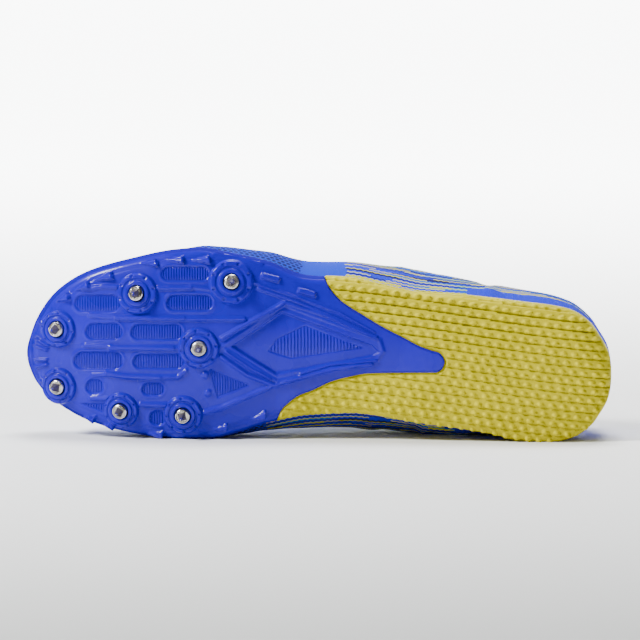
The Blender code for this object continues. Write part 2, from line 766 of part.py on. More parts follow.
def make_plate(collection, cutters):
    """Spike plate: tray with bosses, ridges and edge lugs joined to it."""
    plate = plate_body("spike_plate", 0, collection)
    details = bpy.data.collections.new("plate_details")
    cutters.children.link(details)
    socket = SPIKE_RADIUS + GAP
    boss = ((0, -PLATE_THICKNESS * 0.55), (BOSS_RADIUS, -PLATE_THICKNESS * 0.55),
            (BOSS_RADIUS, BOSS_HEIGHT * 0.15), (BOSS_RADIUS * 0.88, BOSS_HEIGHT * 0.62),
            (BOSS_RADIUS * 0.86, BOSS_HEIGHT * 0.85), (BOSS_RADIUS * 0.62, BOSS_HEIGHT),
            (BOSS_RADIUS * 0.56, BOSS_HEIGHT * 0.84), (socket, BOSS_HEIGHT * 0.84),
            (socket, BOSS_HEIGHT - SOCKET_DEPTH), (0, BOSS_HEIGHT - SOCKET_DEPTH))
    for number, place in enumerate(SPIKE_PLACES, 1):
        turned(f"boss_{number}", boss, 12, seat(place), details)
    for name, run in RIDGES.items():
        ridge(f"ridge_{name}", run, details)
    for number, row in enumerate(LUGS, 1):
        lug(f"lug_{number}", row, details)
    union = plate.modifiers.new("details", "BOOLEAN")
    union.operation = "UNION"
    union.operand_type = "COLLECTION"
    union.collection = details
    return plate


def make_spikes(collection):
    """Steel spikes: a collar in the boss's socket and a tapered pin."""
    foot = BOSS_HEIGHT - SOCKET_DEPTH + GAP
    collar = BOSS_HEIGHT + COLLAR_RISE
    profile = ((0, foot), (SPIKE_RADIUS, foot), (SPIKE_RADIUS, collar),
               (SPIKE_RADIUS * 0.78, collar + COLLAR_BEVEL),
               (SPIKE_RADIUS * 0.22, foot + SPIKE_LENGTH - SPIKE_POINT), (0, foot + SPIKE_LENGTH))
    return [turned(f"spike_{number}", profile, 8, seat(place), collection)
            for number, place in enumerate(SPIKE_PLACES, 1)]


def cut(item, cutter, name, solver="EXACT"):
    """Cut one solid out of another."""
    boolean = item.modifiers.new(name, "BOOLEAN")
    boolean.operation = "DIFFERENCE"
    boolean.solver = solver
    boolean.object = cutter


def rest_frame():
    """Plane that the shoe lies on: its origin, and axes towards the heel and into the shoe."""
    heel, ball = edge("medial", HEEL_REST), edge("medial", BALL_REST)
    heel.z = ground(heel.x, heel.y) + SOLE_EDGE_RADIUS
    ball.z = ground(ball.x, ball.y) + SOLE_EDGE_RADIUS
    backward = (heel - ball).normalized()
    lean = Vector((0, -math.sin(REST_LEAN), math.cos(REST_LEAN)))
    up = lean.cross(backward).normalized()
    up = up if up.y > 0 else -up
    away = up.cross(backward)
    return ball + up * REST_BITE, backward, away, up


def make_floor_cutter(cutters):
    """Block under the resting plane, which leaves a flat spot on all that lies on it."""
    origin, backward, away, up = rest_frame()
    turn = Matrix((backward, away, up)).transposed().to_4x4()
    block = bmesh.new()
    place = Matrix.Translation(origin - up * FLOOR_DEPTH / 2) @ turn
    bmesh.ops.create_cube(block, size=1, matrix=place @ Matrix.Diagonal((LENGTH * 3, LENGTH, FLOOR_DEPTH, 1)))
    return mesh_object("floor_cutter", block, cutters)


def lay_down(collection, cutters):
    """Lay the shoe on its side: an empty turns it, and centres it over the origin on the floor."""
    origin, backward, away, up = rest_frame()
    turn = Matrix((backward, away, up))
    holder = bpy.data.objects.new("lying_shoe", None)
    collection.objects.link(holder)
    bpy.context.view_layer.update()
    graph = bpy.context.evaluated_depsgraph_get()
    points = []
    for item in collection.objects:
        if item.type == "MESH":
            points += [turn @ vertex.co for vertex in item.evaluated_get(graph).data.vertices]
    low = [min(point[k] for point in points) for k in range(3)]
    high = [max(point[k] for point in points) for k in range(3)]
    holder.matrix_world = turn.to_4x4()
    holder.location = (-(low[0] + high[0]) / 2, -(low[1] + high[1]) / 2, -low[2])
    for item in list(collection.objects) + list(cutters.all_objects):
        if item.type == "MESH":
            item.parent = holder


def paint(item, name, colour, roughness, metallic=0):
    """Give an object a plain material, or the one of that name if it is there already."""
    material = bpy.data.materials.get(name)
    if material is None:
        material = bpy.data.materials.new(name)
        material.use_nodes = True
        shader = material.node_tree.nodes["Principled BSDF"]
        shader.inputs["Base Color"].default_value = (*colour, 1)
        shader.inputs["Roughness"].default_value = roughness
        shader.inputs["Metallic"].default_value = metallic
    item.data.materials.clear()
    item.data.materials.append(material)


def clear_scene():
    for item in list(bpy.data.objects):
        bpy.data.objects.remove(item)


def main():
    clear_scene()
    shoe = bpy.data.collections.new("track_spike_shoe")
    cutters = bpy.data.collections.new("cutters")
    bpy.context.scene.collection.children.link(shoe)
    bpy.context.scene.collection.children.link(cutters)

    midsole = make_midsole(shoe)
    insole = make_insole(shoe)
    upper_wall = make_upper(shoe)
    tongue = make_tongue(shoe)
    laces = make_laces(shoe, cutters)
    plate = make_plate(shoe, cutters)
    spikes = make_spikes(shoe)

    cut(midsole, plate_body("plate_pocket", GAP, cutters), "plate_pocket", "MANIFOLD")
    cut(upper_wall, make_eyelet_cutter(cutters), "eyelets")
    floor = make_floor_cutter(cutters)
    cut(midsole, floor, "flat_spot", "MANIFOLD")
    for item in (upper_wall, plate):
        cut(item, floor, "flat_spot")

    paint(midsole, "yellow_foam", (0.78, 0.72, 0.02), 0.75)
    paint(insole, "insole_fabric", (0.05, 0.08, 0.20), 0.9)
    paint(upper_wall, "knit", (0.06, 0.16, 0.55), 0.85)
    paint(tongue, "tongue_mesh", (0.04, 0.09, 0.30), 0.85)
    paint(laces, "lace_cord", (0.65, 0.62, 0.06), 0.8)
    paint(plate, "blue_plastic", (0.03, 0.07, 0.55), 0.28)
    for spike in spikes:
        paint(spike, "spike_steel", (0.62, 0.62, 0.64), 0.3, 1)
    for item in cutters.all_objects:
        item.hide_render = True
        item.display_type = "WIRE"
    lay_down(shoe, cutters)


main()
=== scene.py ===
"""Looks of a left track spike shoe that lies on its inner side with its sole towards the viewer.

The shoe's own frame is used throughout: x from the heel to the toe, y to the outer (lateral) side and z up
from the ground, in metres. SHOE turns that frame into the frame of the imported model.
"""

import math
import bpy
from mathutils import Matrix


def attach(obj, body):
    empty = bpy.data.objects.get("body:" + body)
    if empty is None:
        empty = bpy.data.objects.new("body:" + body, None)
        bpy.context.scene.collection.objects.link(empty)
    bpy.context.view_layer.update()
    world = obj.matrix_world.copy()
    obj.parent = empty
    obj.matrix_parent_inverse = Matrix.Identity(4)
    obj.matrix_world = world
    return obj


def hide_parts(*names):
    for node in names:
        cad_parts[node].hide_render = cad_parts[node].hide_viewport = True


bl_info = {
    "name": "Track spike shoe",
    "version": (1, 0, 0),
    "blender": (4, 5, 0),
    "location": "3D View > Sidebar > Shoe",
    "description": "Dresses a track spike shoe: plate, foam, knit upper, lace and spikes",
    "category": "Object",
}

import bmesh
import bpy
import numpy as np
from mathutils import Matrix, Vector

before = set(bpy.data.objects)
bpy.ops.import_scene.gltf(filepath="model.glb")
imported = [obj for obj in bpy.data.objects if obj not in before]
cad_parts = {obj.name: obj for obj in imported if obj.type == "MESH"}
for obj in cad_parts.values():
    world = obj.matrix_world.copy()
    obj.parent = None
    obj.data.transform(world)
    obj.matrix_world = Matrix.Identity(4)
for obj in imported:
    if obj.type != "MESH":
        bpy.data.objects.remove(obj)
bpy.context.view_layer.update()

# Sizes of the shoe, in metres
LENGTH = 0.280
BALL_WIDTH = 0.0916
HEEL_HEIGHT = 0.077
INSTEP_HEIGHT = 0.088
TOE_SPRING = 0.022
HEEL_STACK = 0.0135
SOLE_EDGE_RADIUS = 0.004
UPPER_WALL = 0.0018
UPPER_INSET = 0.0012
UPPER_TUCK = 0.0022
TONGUE_THICKNESS = 0.0032
TONGUE_RISE = 0.012
INSOLE_THICKNESS = 0.003
PLATE_RIM = 0.0056
PLATE_PROUD = 0.0008
BOSS_RADIUS = 0.0098
BOSS_HEIGHT = 0.0034
SOCKET_DEPTH = 0.0022
SPIKE_LENGTH = 0.009
SPIKE_RADIUS = 0.0028
EYELET_INSET = 0.007
EYELET_PAIRS = 6
GAP = 0.0003
REST_LEAN = math.radians(1.0)
REST_BITE = 0.0005
HEEL_REST = .107
BALL_REST = .70
HEEL_BACK_DEPTH = 0.005
HEEL_BACK_REACH = 0.055

# Where the upper's outer foot and the insole tuck in behind the plate's rim, as shares of the length
TUCK_START = 0.66
TUCK_FADE = 0.08
TUCK_TOE_FADE = 0.03
INSOLE_CLEARANCE = 0.0010
INSOLE_TUCK_START = 0.6
INSOLE_TUCK_FADE = 0.1

# The plate's forefoot and tail fade into each other over these shares of the length
FOREFOOT_START = 0.60
FOREFOOT_FADE = 0.05
TAIL_FADE = 0.03

# Stations along and columns across the undersides, and samples of the outline on each side
OUTLINE_SAMPLES = 900
PLATE_STATIONS = 348
TOE_STATIONS = 44
TOE_START = 0.262
TAIL_CAP_STATIONS = 12
PLATE_COLUMNS = 180
FOAM_STATIONS = 380
FOAM_HEEL_STATIONS = 24
FOAM_HEEL_TURN = 0.30
FOAM_END = 0.172
FOAM_COLUMNS = 170
FOAM_SIDE_STATIONS = 300
FOAM_PLATE_STEP = 0.0012

# Foam's underside: rows of bumps on steps with a crack between them
FOAM_ROW_PITCH = 0.0043
FOAM_ROW_SLOPE = 0.13
FOAM_BUMP_SPACING = 0.0053
FOAM_BUMP_HEIGHT = 0.0015
FOAM_STEP = 0.0010
FOAM_CRACK = 0.0010

# Steep faces this near the outline belong to the plate's outer wall: a matte finish with painted shade, the plate's
# colour darkened
WALL_BAND = 0.0028
WALL_STEEPNESS = 0.66

# Bound edge, eyelet rings and lace
BINDING_HALF = (0.0014, 0.0013)
BINDING_DROP = 0.0004
RING_HALF = (0.0007, 0.0005)
RING_RADIUS = 0.0024
EYELET_HOLE_RADIUS = 0.0017
LACE_HALF_THICK = 0.00075
LACE_END_DEPTH = 0.0020
LACE_END_RISE = 0.0016
LACE_EDGE_INSET = 0.0012
LACE_EDGE_RISE = 0.0026
LACE_CREST_RISE = 0.0022
LACE_CROSSING = 0.0006

# Backdrop: where the floor's sweep starts, its radius, and the top and half width of the paper
SWEEP_START = 4.6
SWEEP_RADIUS = 0.7
BACKDROP_TOP = 3.4
BACKDROP_HALF_WIDTH = 6
BACKDROP_COLUMNS = 25
SENSOR_MM = 36
PHOTO_WIDTH = 640

# The photo's scale: metres for a pixel, the pixel of the heel's end and of the shoe's axis, and how far a
# point rises in the picture for each metre that it lies behind the sole
PX = LENGTH / 587
HEEL_PX = 612
AXIS_PX = 345
RISE_BY_DEPTH = 0.105

# Sole: edges as shares of the ball width, ground line and edge lift as shares of the toe spring, and
# thickness as a share of the heel stack
SOLE_COLUMNS = ("along", "lateral", "medial", "ground", "lift", "thickness")
SOLE = (
    (0, -.170, -.170, .24, 0, 1),
    (.005, -.052, -.285, .18, .01, 1),
    (.018, .024, -.362, .14, .02, 1),
    (.036, .104, -.434, .08, .03, 1),
    (.071, .174, -.497, .02, .04, 1),
    (.107, .198, -.519, 0, .05, 1),
    (.150, .214, -.515, 0, .06, 1),
    (.204, .235, -.474, 0, .07, .98),
    (.257, .252, -.447, 0, .09, .95),
    (.329, .265, -.418, .03, .11, .90),
    (.393, .306, -.384, .07, .13, .84),
    (.446, .340, -.368, .10, .15, .78),
    (.518, .353, -.376, .10, .17, .70),
    (.589, .430, -.421, .06, .19, .66),
    (.661, .480, -.489, 0, .21, .62),
    (.700, .500, -.508, 0, .21, .61),
    (.743, .490, -.505, .05, .20, .60),
    (.818, .441, -.478, .22, .17, .59),
    (.893, .369, -.418, .48, .12, .58),
    (.946, .265, -.334, .74, .07, .57),
    (.982, .115, -.231, .92, .03, .56),
    (.995, .010, -.150, .98, .01, .56),
    (1, -.067, -.067, 1, 0, .56),
)

# Upper: overhang on each side, half opening and ridge place as shares of the ball width, top edge as a share
# of the instep height, and how upright the top edge stands
UPPER_COLUMNS = ("along", "out_lateral", "out_medial", "top", "opening", "ridge", "upright")
UPPER = (
    (0, .010, .010, .875, 0, -.170, 1),
    (.018, .006, .020, .865, .105, -.150, 1),
    (.04, .008, .028, .835, .175, -.140, 1),
    (.071, .018, .014, .78, .225, -.130, .95),
    (.114, .030, .004, .72, .27, -.125, .92),
    (.164, .034, .012, .69, .31, -.115, .9),
    (.214, .040, .051, .70, .335, -.11, .88),
    (.264, .052, .068, .76, .335, -.10, .85),
    (.314, .070, .088, .84, .325, -.09, .8),
    (.357, .078, .106, .92, .285, -.08, .76),
    (.386, .066, .116, .975, .225, -.07, .72),
    (.407, .060, .124, .985, .190, -.06, .68),
    (.443, .052, .120, .955, .170, -.05, .62),
    (.486, .048, .112, .89, .155, -.04, .56),
    (.529, .046, .104, .835, .140, -.03, .5),
    (.571, .034, .080, .785, .125, -.02, .44),
    (.607, .022, .056, .742, .110, -.015, .36),
    (.636, .014, .036, .712, .086, -.01, .24),
    (.654, .010, .023, .696, .045, -.01, .1),
    (.664, .008, .016, .688, 0, -.01, 0),
    (.693, .006, .004, .664, 0, -.01, 0),
    (.771, .004, .009, .632, 0, -.015, 0),
    (.821, .002, .006, .620, 0, -.02, 0),
    (.914, 0, 0, .598, 0, -.035, 0),
    (.95, 0, 0, .568, 0, -.045, 0),
    (.975, 0, 0, .515, 0, -.055, 0),
    (.991, 0, 0, .440, 0, -.062, 0),
    (1, 0, 0, .350, 0, -.067, 0),
)
# How far the heel's back is set in: height share, share of the depth
HEEL_BACK = ((0, 0), (.2, 0), (.45, 0), (.65, .35), (.82, .9), (.92, 1), (1, .85))

# The plate's tail, whose tip is a round end: its edges in front of that, as shares of the length and width
TAIL_TIP_X = 0.2857 * LENGTH
TAIL_TIP_Y = -0.0915 * BALL_WIDTH
TAIL_TIP_RADIUS = 0.0050
TAIL_LATERAL = ((.3036, -.037), (.327, -.011), (.352, .029), (.389, .087), (.427, .156), (.464, .232),
                (.4845, .309), (.4895, .345))
TAIL_MEDIAL = ((.3036, -.146), (.345, -.147), (.382, -.149), (.418, -.153), (.446, -.169), (.475, -.192),
               (.511, -.243), (.535, -.273), (.5525, -.313), (.564, -.350), (.5715, -.406))

# Spikes, as shares of the length and the ball width
SPIKES = ((.945, .064), (.944, -.236), (.837, -.352), (.731, -.369), (.704, -.017), (.809, .262),
          (.649, .326))

# Size of each spike's boss as a share of the largest
BOSS_SHARES = (.86, .86, .83, .90, .94, .96, 1.03)
NOTCHES = 8
NOTCH_DEPTH = 0.0008
# Painted shade: the seat round each spike is coloured dark out to this radius
PAINTED_SEAT_SHADE_RADIUS = BOSS_RADIUS * 0.44

# Relief of the plate. Places are pixels of the photo; heights are metres.
# Ribbed hollows with round ends: left, top, right, bottom
HOLLOWS = ((74, 294.5, 120, 312), (161, 266, 209, 280.6), (166.5, 294.5, 213, 310.7), (85, 323, 122, 340),
           (130.6, 324, 182.6, 340), (73, 352, 122.5, 370), (133, 354, 184, 369.4), (85, 379.6, 103, 395),
           (141.6, 383, 163.6, 396.5), (149, 411, 165, 426.6))
HOLLOW_DEPTH = 0.0010
HOLLOW_LIP = 0.00025
CORNERED_DEPTH = HOLLOW_DEPTH * .7
# Ribbed hollows with corners
CORNERED_HOLLOWS = (((80, 404.6), (103.4, 404.6), (103, 413.4)),
                    ((209.8, 368.8), (248.4, 385.6), (217.5, 398.2)),
                    ((268.8, 351.8), (277.7, 338.6), (305.6, 325.4), (362.8, 348.5), (291, 359)))
# Long ridges: points, half width in pixels, height
RIDGES = (
    (((82, 289), (104, 286.5), (126, 287.5)), 1.8, .0011),
    (((158, 288), (191, 288)), 1.8, .0013),
    (((191, 286.5), (214, 290)), 1.6, .0007),
    (((90, 315.5), (116, 317.5)), 1.9, .0010),
    (((116, 318), (184, 318.5)), 2.0, .0015),
    (((184, 319), (244, 319)), 1.8, .0011),
    (((84, 346), (110, 346.5)), 1.9, .0010),
    (((110, 348), (173, 348.5)), 2.0, .0015),
    (((173, 349), (186, 349)), 1.8, .0009),
    (((92, 375), (106, 375)), 1.8, .0009),
    (((106, 374), (128, 377), (160, 378)), 2.0, .0015),
    (((160, 378), (178, 377.5), (186, 371)), 1.7, .0010),
    (((90, 399), (108, 399)), 1.7, .0010),
    (((140, 405), (166, 406)), 1.9, .0013),
    (((204, 413), (222, 408), (270, 387)), 1.9, .0013),
)
# Walls of the diamond and of the bridge behind it
WALLS = (
    (((221.3, 338.6), (250, 322), (285, 302)), 1.7, .0015),
    (((285, 302), (330, 317), (376, 337)), 1.5, .0013),
    (((221, 357), (247, 375), (275, 386)), 1.7, .0015),
    (((275, 386), (303, 377), (332, 368.5), (371, 364.5)), 1.7, .0014),
    (((226, 352.5), (252, 370), (270, 379)), 1.0, .0010),
    (((300, 374), (332, 364.5), (376, 360.5)), 1.0, .0009),
    (((258, 288), (300, 303), (345, 322), (376, 337)), 1.4, .0011),
    (((244, 277), (262, 286), (300, 298)), 1.2, .0008),
    (((300, 298), (340, 313), (374, 332)), 1.0, .0006),
    (((214, 253), (240, 256), (262, 264)), 1.2, .0006),
)
# The diamond's floor steps down twice: corners and step
DIAMOND_STEPS = (
    (((224.5, 347.5), (283, 306), (378, 341), (381, 351), (376, 358.5), (277, 380.5)), -.0004),
    (((231.5, 346.5), (282, 312), (372, 345), (379, 352), (373, 356), (276, 374.5)), -.0015),
)
DIAMOND_SILL = .0006
DIAMOND_FLOOR_STEP = .0004
DIAMOND_FLOOR_DEPTH = .0017
# Teeth at the edge: tip, then the two corners of the steep side towards the heel
TEETH = (((54.6, 301.3), (67.4, 291.8), (69.4, 299.8)), ((73.4, 290.4), (87.2, 280.1), (89.4, 288)),
         ((94.1, 280.5), (110.9, 271.2), (112.7, 278.2)), ((139.6, 263.3), (156.4, 259), (157.6, 266)),
         ((165.3, 259.8), (182.5, 255.8), (183.4, 263.2)), ((191, 259.8), (208.7, 255.8), (209.9, 263.2)),
         ((82.8, 418.9), (95.1, 416.6), (93.5, 423)), ((100, 426.8), (113.9, 423), (112.9, 430.7)),
         ((144.5, 434.7), (163.3, 432.2), (162.3, 438.4)), ((211.3, 430.7), (227.1, 424.8), (226.5, 431)),
         ((250.8, 420.2), (265.1, 411), (265.4, 419)))
# Height of a tooth at its tip and at its steep side
TOOTH_HEIGHTS = (.0005, .0027)
# Bars at the edge: centre, length, half width in pixels and turn in degrees
EDGE_BARS = ((270.6, 277.5, 18.5, 2.7, 15), (307, 292.2, 17.5, 2.6, 16))
EDGE_BAR_HEIGHT = .0016
TOE_BARS = (((33.3, 338), (47, 346.3)), ((31.2, 345), (45.3, 350.2)), ((31.9, 359.6), (45.3, 360)),
            ((33.3, 368), (45.3, 364.6)), ((38.2, 383), (46, 378)), ((37, 321.5), (44.6, 327.7)))
TOE_BAR_HEIGHT = .0012
TOE_GROOVE_DEPTH = .0011
TOE_GROOVE = ((36.8, 321), (31.5, 334), (30.2, 347), (31, 362), (34.5, 374), (38.5, 384.5))
RIM_STEP = 0.0003
RIM_WIDTH = 0.0046
# Small round knobs: centre and radius in pixels
DOTS = ((205, 375.5, 3.4), (208, 393.5, 3.2), (51.5, 341.5, 1.4), (60, 404.5, 1.6), (121, 375.5, 1.2),
        (138, 381, 1.2), (144.5, 303.5, 1.8))
DOT_HEIGHT = .0009
RIB_PITCH = 2.64
DIAMOND_RIB_PITCH = 3.3
RIB_HEIGHT = 0.0006
RIB_STEPS = 7

# Creases of the upper, as soft troughs: side, place along, height share, turn, length and width, depth
CREASE_FIELD_HEIGHT = 0.06
CREASE_BEND = 8
CREASES = (
    ("lateral", .72, .78, 12, .030, .0045, .0011), ("lateral", .765, .74, 16, .026, .004, .0009),
    ("medial", .72, .80, -12, .030, .0045, .0011), ("medial", .77, .76, -16, .026, .004, .0008),
    ("lateral", .155, .24, 66, .008, .0022, .0002),
    ("medial", .23, .55, -58, .016, .0030, .0004),
    ("lateral", .335, .80, 48, .016, .004, .0006), ("medial", .34, .66, -48, .022, .004, .0009),
    ("medial", .175, .60, -62, .012, .0026, .0003),
)


def table_curve(rows, place, round_ends=True):
    """Smooth monotone curve through one column of a table, as a function of arrays."""
    firsts = np.array([row[0] for row in rows], float)
    values = np.array([row[place] for row in rows], float)

    def spread(share):
        return np.arccos(1 - 2 * np.clip(share, 0, 1)) if round_ends else np.asarray(share, float)

    knots = spread(firsts)
    steps = np.diff(knots)
    slopes = np.diff(values) / steps
    tangents = np.zeros(len(values))
    tangents[0], tangents[-1] = slopes[0], slopes[-1]
    for k in range(1, len(values) - 1):
        if slopes[k - 1] * slopes[k] > 0:
            before, after = 2 * steps[k] + steps[k - 1], steps[k] + 2 * steps[k - 1]
            tangents[k] = (before + after) / (before / slopes[k - 1] + after / slopes[k])

    def value(share):
        place_on = spread(share)
        k = np.clip(np.searchsorted(knots, place_on, side="right") - 1, 0, len(steps) - 1)
        u = np.clip((place_on - knots[k]) / steps[k], 0, 1)
        return (values[k] * (1 + 2 * u) * (1 - u) ** 2 + values[k + 1] * u * u * (3 - 2 * u)
                + steps[k] * (tangents[k] * u * (1 - u) ** 2 - tangents[k + 1] * u * u * (1 - u)))

    return value


SOLE_CURVES = {name: table_curve(SOLE, k) for k, name in enumerate(SOLE_COLUMNS) if k}
UPPER_CURVES = {name: table_curve(UPPER, k) for k, name in enumerate(UPPER_COLUMNS) if k}
TAIL_CURVES = {"lateral": table_curve(TAIL_LATERAL, 1, False), "medial": table_curve(TAIL_MEDIAL, 1, False)}
TAIL_ENDS = {"lateral": TAIL_LATERAL[-1][0], "medial": TAIL_MEDIAL[-1][0]}
SIDE_SIGN = {"lateral": 1, "medial": -1}


def turned(across, up, angle):
    """Two coordinates in axes turned by an angle."""
    return (across * math.cos(angle) + up * math.sin(angle),
            -across * math.sin(angle) + up * math.cos(angle))


def ease(value):
    """0 below 0, 1 above 1 and a smooth step between."""
    value = np.clip(value, 0, 1)
    return value * value * (3 - 2 * value)


def length_along(points):
    """Length gone at each point of a run."""
    return np.concatenate([[0], np.cumsum(np.linalg.norm(np.diff(points, axis=0), axis=1))])


def evenly(points, count, endpoint=True):
    """Points evenly along a run of straight steps."""
    gone = length_along(points)
    places = np.linspace(0, gone[-1], count, endpoint=endpoint)
    return np.stack([np.interp(places, gone, points[:, k]) for k in range(3)], 1)


def ground(x, y):
    """Height of the sole's underside before its edge is rounded."""
    along = np.asarray(x) / LENGTH
    outer, inner = SOLE_CURVES["lateral"](along) * BALL_WIDTH, SOLE_CURVES["medial"](along) * BALL_WIDTH
    half = np.maximum((outer - inner) / 2, 0.004)
    off = np.minimum(np.abs(y - (outer + inner) / 2) / half, 1.1)
    return TOE_SPRING * (SOLE_CURVES["ground"](along) + SOLE_CURVES["lift"](along) * off ** 2)


def downward(x, y):
    """Direction out of the sole's underside."""
    step = 0.002
    slope_x = (ground(x + step, y) - ground(x - step, y)) / (2 * step)
    slope_y = (ground(x, y + step) - ground(x, y - step)) / (2 * step)
    run = np.stack([slope_x, slope_y, -np.ones_like(slope_x)], -1)
    return run / np.linalg.norm(run, axis=-1, keepdims=True)


def sole_edge(side, along):
    along = np.asarray(along, float)
    return np.stack([along * LENGTH, SOLE_CURVES[side](along) * BALL_WIDTH], -1)


def sole_outward(side, along):
    """Direction out of the sole's outline, in plan."""
    along = np.asarray(along, float)
    step = np.maximum(np.minimum(0.006, np.minimum(along, 1 - along) * 0.5), 1e-7)
    run = sole_edge(side, np.clip(along + step, 0, 1)) - sole_edge(side, np.clip(along - step, 0, 1))
    out = np.stack([-run[..., 1], run[..., 0]], -1) * SIDE_SIGN[side]
    out[along <= 0] = (-1, 0)
    out[along >= 1] = (1, 0)
    return out / np.linalg.norm(out, axis=-1, keepdims=True)


def midsole_top(x, y):
    return ground(x, y) + HEEL_STACK * SOLE_CURVES["thickness"](np.asarray(x) / LENGTH)


def edge_lift(distance):
    rest = np.maximum(SOLE_EDGE_RADIUS - distance, 0)
    return SOLE_EDGE_RADIUS - np.sqrt(np.maximum(SOLE_EDGE_RADIUS ** 2 - rest ** 2, 0))


def plate_edge(side, x):
    """The plate's edge: the tail's round tip and free edge, then the sole's outline."""
    along = x / LENGTH
    tip = TAIL_TIP_X + TAIL_TIP_RADIUS
    cap = np.sqrt(np.maximum(TAIL_TIP_RADIUS ** 2 - np.maximum(tip - x, 0) ** 2, 0))
    free = TAIL_CURVES[side](np.maximum(along, TAIL_LATERAL[0][0])) * BALL_WIDTH
    at_cap = TAIL_TIP_Y + SIDE_SIGN[side] * cap
    free = np.where(x < tip, at_cap, free)
    return np.where(along >= TAIL_ENDS[side], SOLE_CURVES[side](along) * BALL_WIDTH, free)


def outline_distance(x, y):
    """Distance inside the sole's outline, for arrays of places."""
    turn = (1 - np.cos(np.linspace(0, math.pi, OUTLINE_SAMPLES))) / 2
    points = np.concatenate([sole_edge("lateral", turn), sole_edge("medial", turn)])
    flat_x, flat_y = x.ravel(), y.ravel()
    nearest = np.empty(flat_x.shape)
    for start in range(0, len(flat_x), 4000):
        part = slice(start, start + 4000)
        gap = (flat_x[part, None] - points[None, :, 0]) ** 2 + (flat_y[part, None] - points[None, :, 1]) ** 2
        nearest[part] = np.sqrt(gap.min(1))
    return nearest.reshape(x.shape)


def rest_frame():
    """Plane that the shoe lies on: a point, and axes towards the heel, into the floor's depth and up."""
    points = []
    for along in (HEEL_REST, BALL_REST):
        x, y = sole_edge("medial", along)
        points.append(Vector((x, y, float(ground(x, y)) + SOLE_EDGE_RADIUS)))
    heel, ball = points
    backward = (heel - ball).normalized()
    up = Vector((0, -math.sin(REST_LEAN), math.cos(REST_LEAN))).cross(backward).normalized()
    up = up if up.y > 0 else -up
    return ball + up * REST_BITE, backward, up.cross(backward), up


def spike_seat(place):
    """Frame of a spike: its Z out of the sole."""
    x, y = place[0] * LENGTH, place[1] * BALL_WIDTH
    point = Vector((x, y, float(ground(x, y))))
    turn = Vector(downward(np.array(x), np.array(y))).to_track_quat("Z", "Y").to_matrix().to_4x4()
    return Matrix.Translation(point) @ turn


def shoe_matrix():
    """From the shoe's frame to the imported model's, found from the tip of the first spike."""
    _, backward, away, up = rest_frame()
    turn = Matrix((backward, away, up))
    corners = [vertex.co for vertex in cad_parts["spike_1"].data.vertices]
    middle = sum(corners, Vector()) / len(corners)
    real_tip = max(corners, key=lambda corner: (corner - middle).length)
    tip = spike_seat(SPIKES[0]) @ Vector((0, 0, BOSS_HEIGHT - SOCKET_DEPTH + GAP + SPIKE_LENGTH))
    return Matrix.Translation(real_tip - turn @ tip) @ turn.to_4x4()


SHOE = shoe_matrix()


def flatten_on_floor(points):
    """Points that would lie under the floor, set back on it."""
    origin, _, _, up = rest_frame()
    depth = np.minimum((points - np.array(origin)) @ np.array(up), 0)
    return points - depth[..., None] * np.array(up)


def in_photo(x, y):
    """Pixels of the photo at which a place on the sole shows."""
    return HEEL_PX - x / PX, AXIS_PX - (y + RISE_BY_DEPTH * ground(x, y)) / PX


def on_sole(px, py):
    """Place on the sole that shows at a pixel of the photo."""
    x = (HEEL_PX - px) * PX
    y = (AXIS_PX - py) * PX
    for _ in range(3):
        y = (AXIS_PX - py) * PX - RISE_BY_DEPTH * float(ground(x, y))
    return x, y


def run_distance(px, py, points):
    """Distance in pixels to a run of points."""
    best = np.full(px.shape, 1e9)
    for (ax, ay), (bx, by) in zip(points, points[1:]):
        length2 = (bx - ax) ** 2 + (by - ay) ** 2
        share = np.clip(((px - ax) * (bx - ax) + (py - ay) * (by - ay)) / length2, 0, 1)
        best = np.minimum(best, np.hypot(px - ax - share * (bx - ax), py - ay - share * (by - ay)))
    return best


def edges_of(corners):
    """Each corner of a closed shape with the next one."""
    return list(zip(corners, corners[1:] + corners[:1]))


def shape_depth(px, py, corners):
    """How far inside a convex shape a place is, in pixels; negative outside."""
    depth = np.full(px.shape, 1e9)
    way = 1 if sum(ax * by - bx * ay for (ax, ay), (bx, by) in edges_of(corners)) > 0 else -1
    for (ax, ay), (bx, by) in edges_of(corners):
        side = ((bx - ax) * (py - ay) - (by - ay) * (px - ax)) / math.hypot(bx - ax, by - ay)
        depth = np.minimum(depth, side * way)
    return depth


def hollow_depth(px, py, left, top, right, bottom):
    """How far inside a round-ended hollow a place is, in pixels."""
    radius = (bottom - top) / 2
    middle = (top + bottom) / 2
    run = max(right - left - 2 * radius, 0.01) / 2
    centre = (left + right) / 2
    return radius - run_distance(px, py, ((centre - run, middle), (centre + run, middle)))


def forefoot_share(x):
    """1 on the forefoot and 0 on the tail."""
    return np.clip((x / LENGTH - FOREFOOT_START) / FOREFOOT_FADE, 0, 1)


def tail_share(x):
    """1 on the plate's free tail and 0 in front of it."""
    return np.clip((TAIL_MEDIAL[-1][0] - x / LENGTH) / TAIL_FADE, 0, 1)


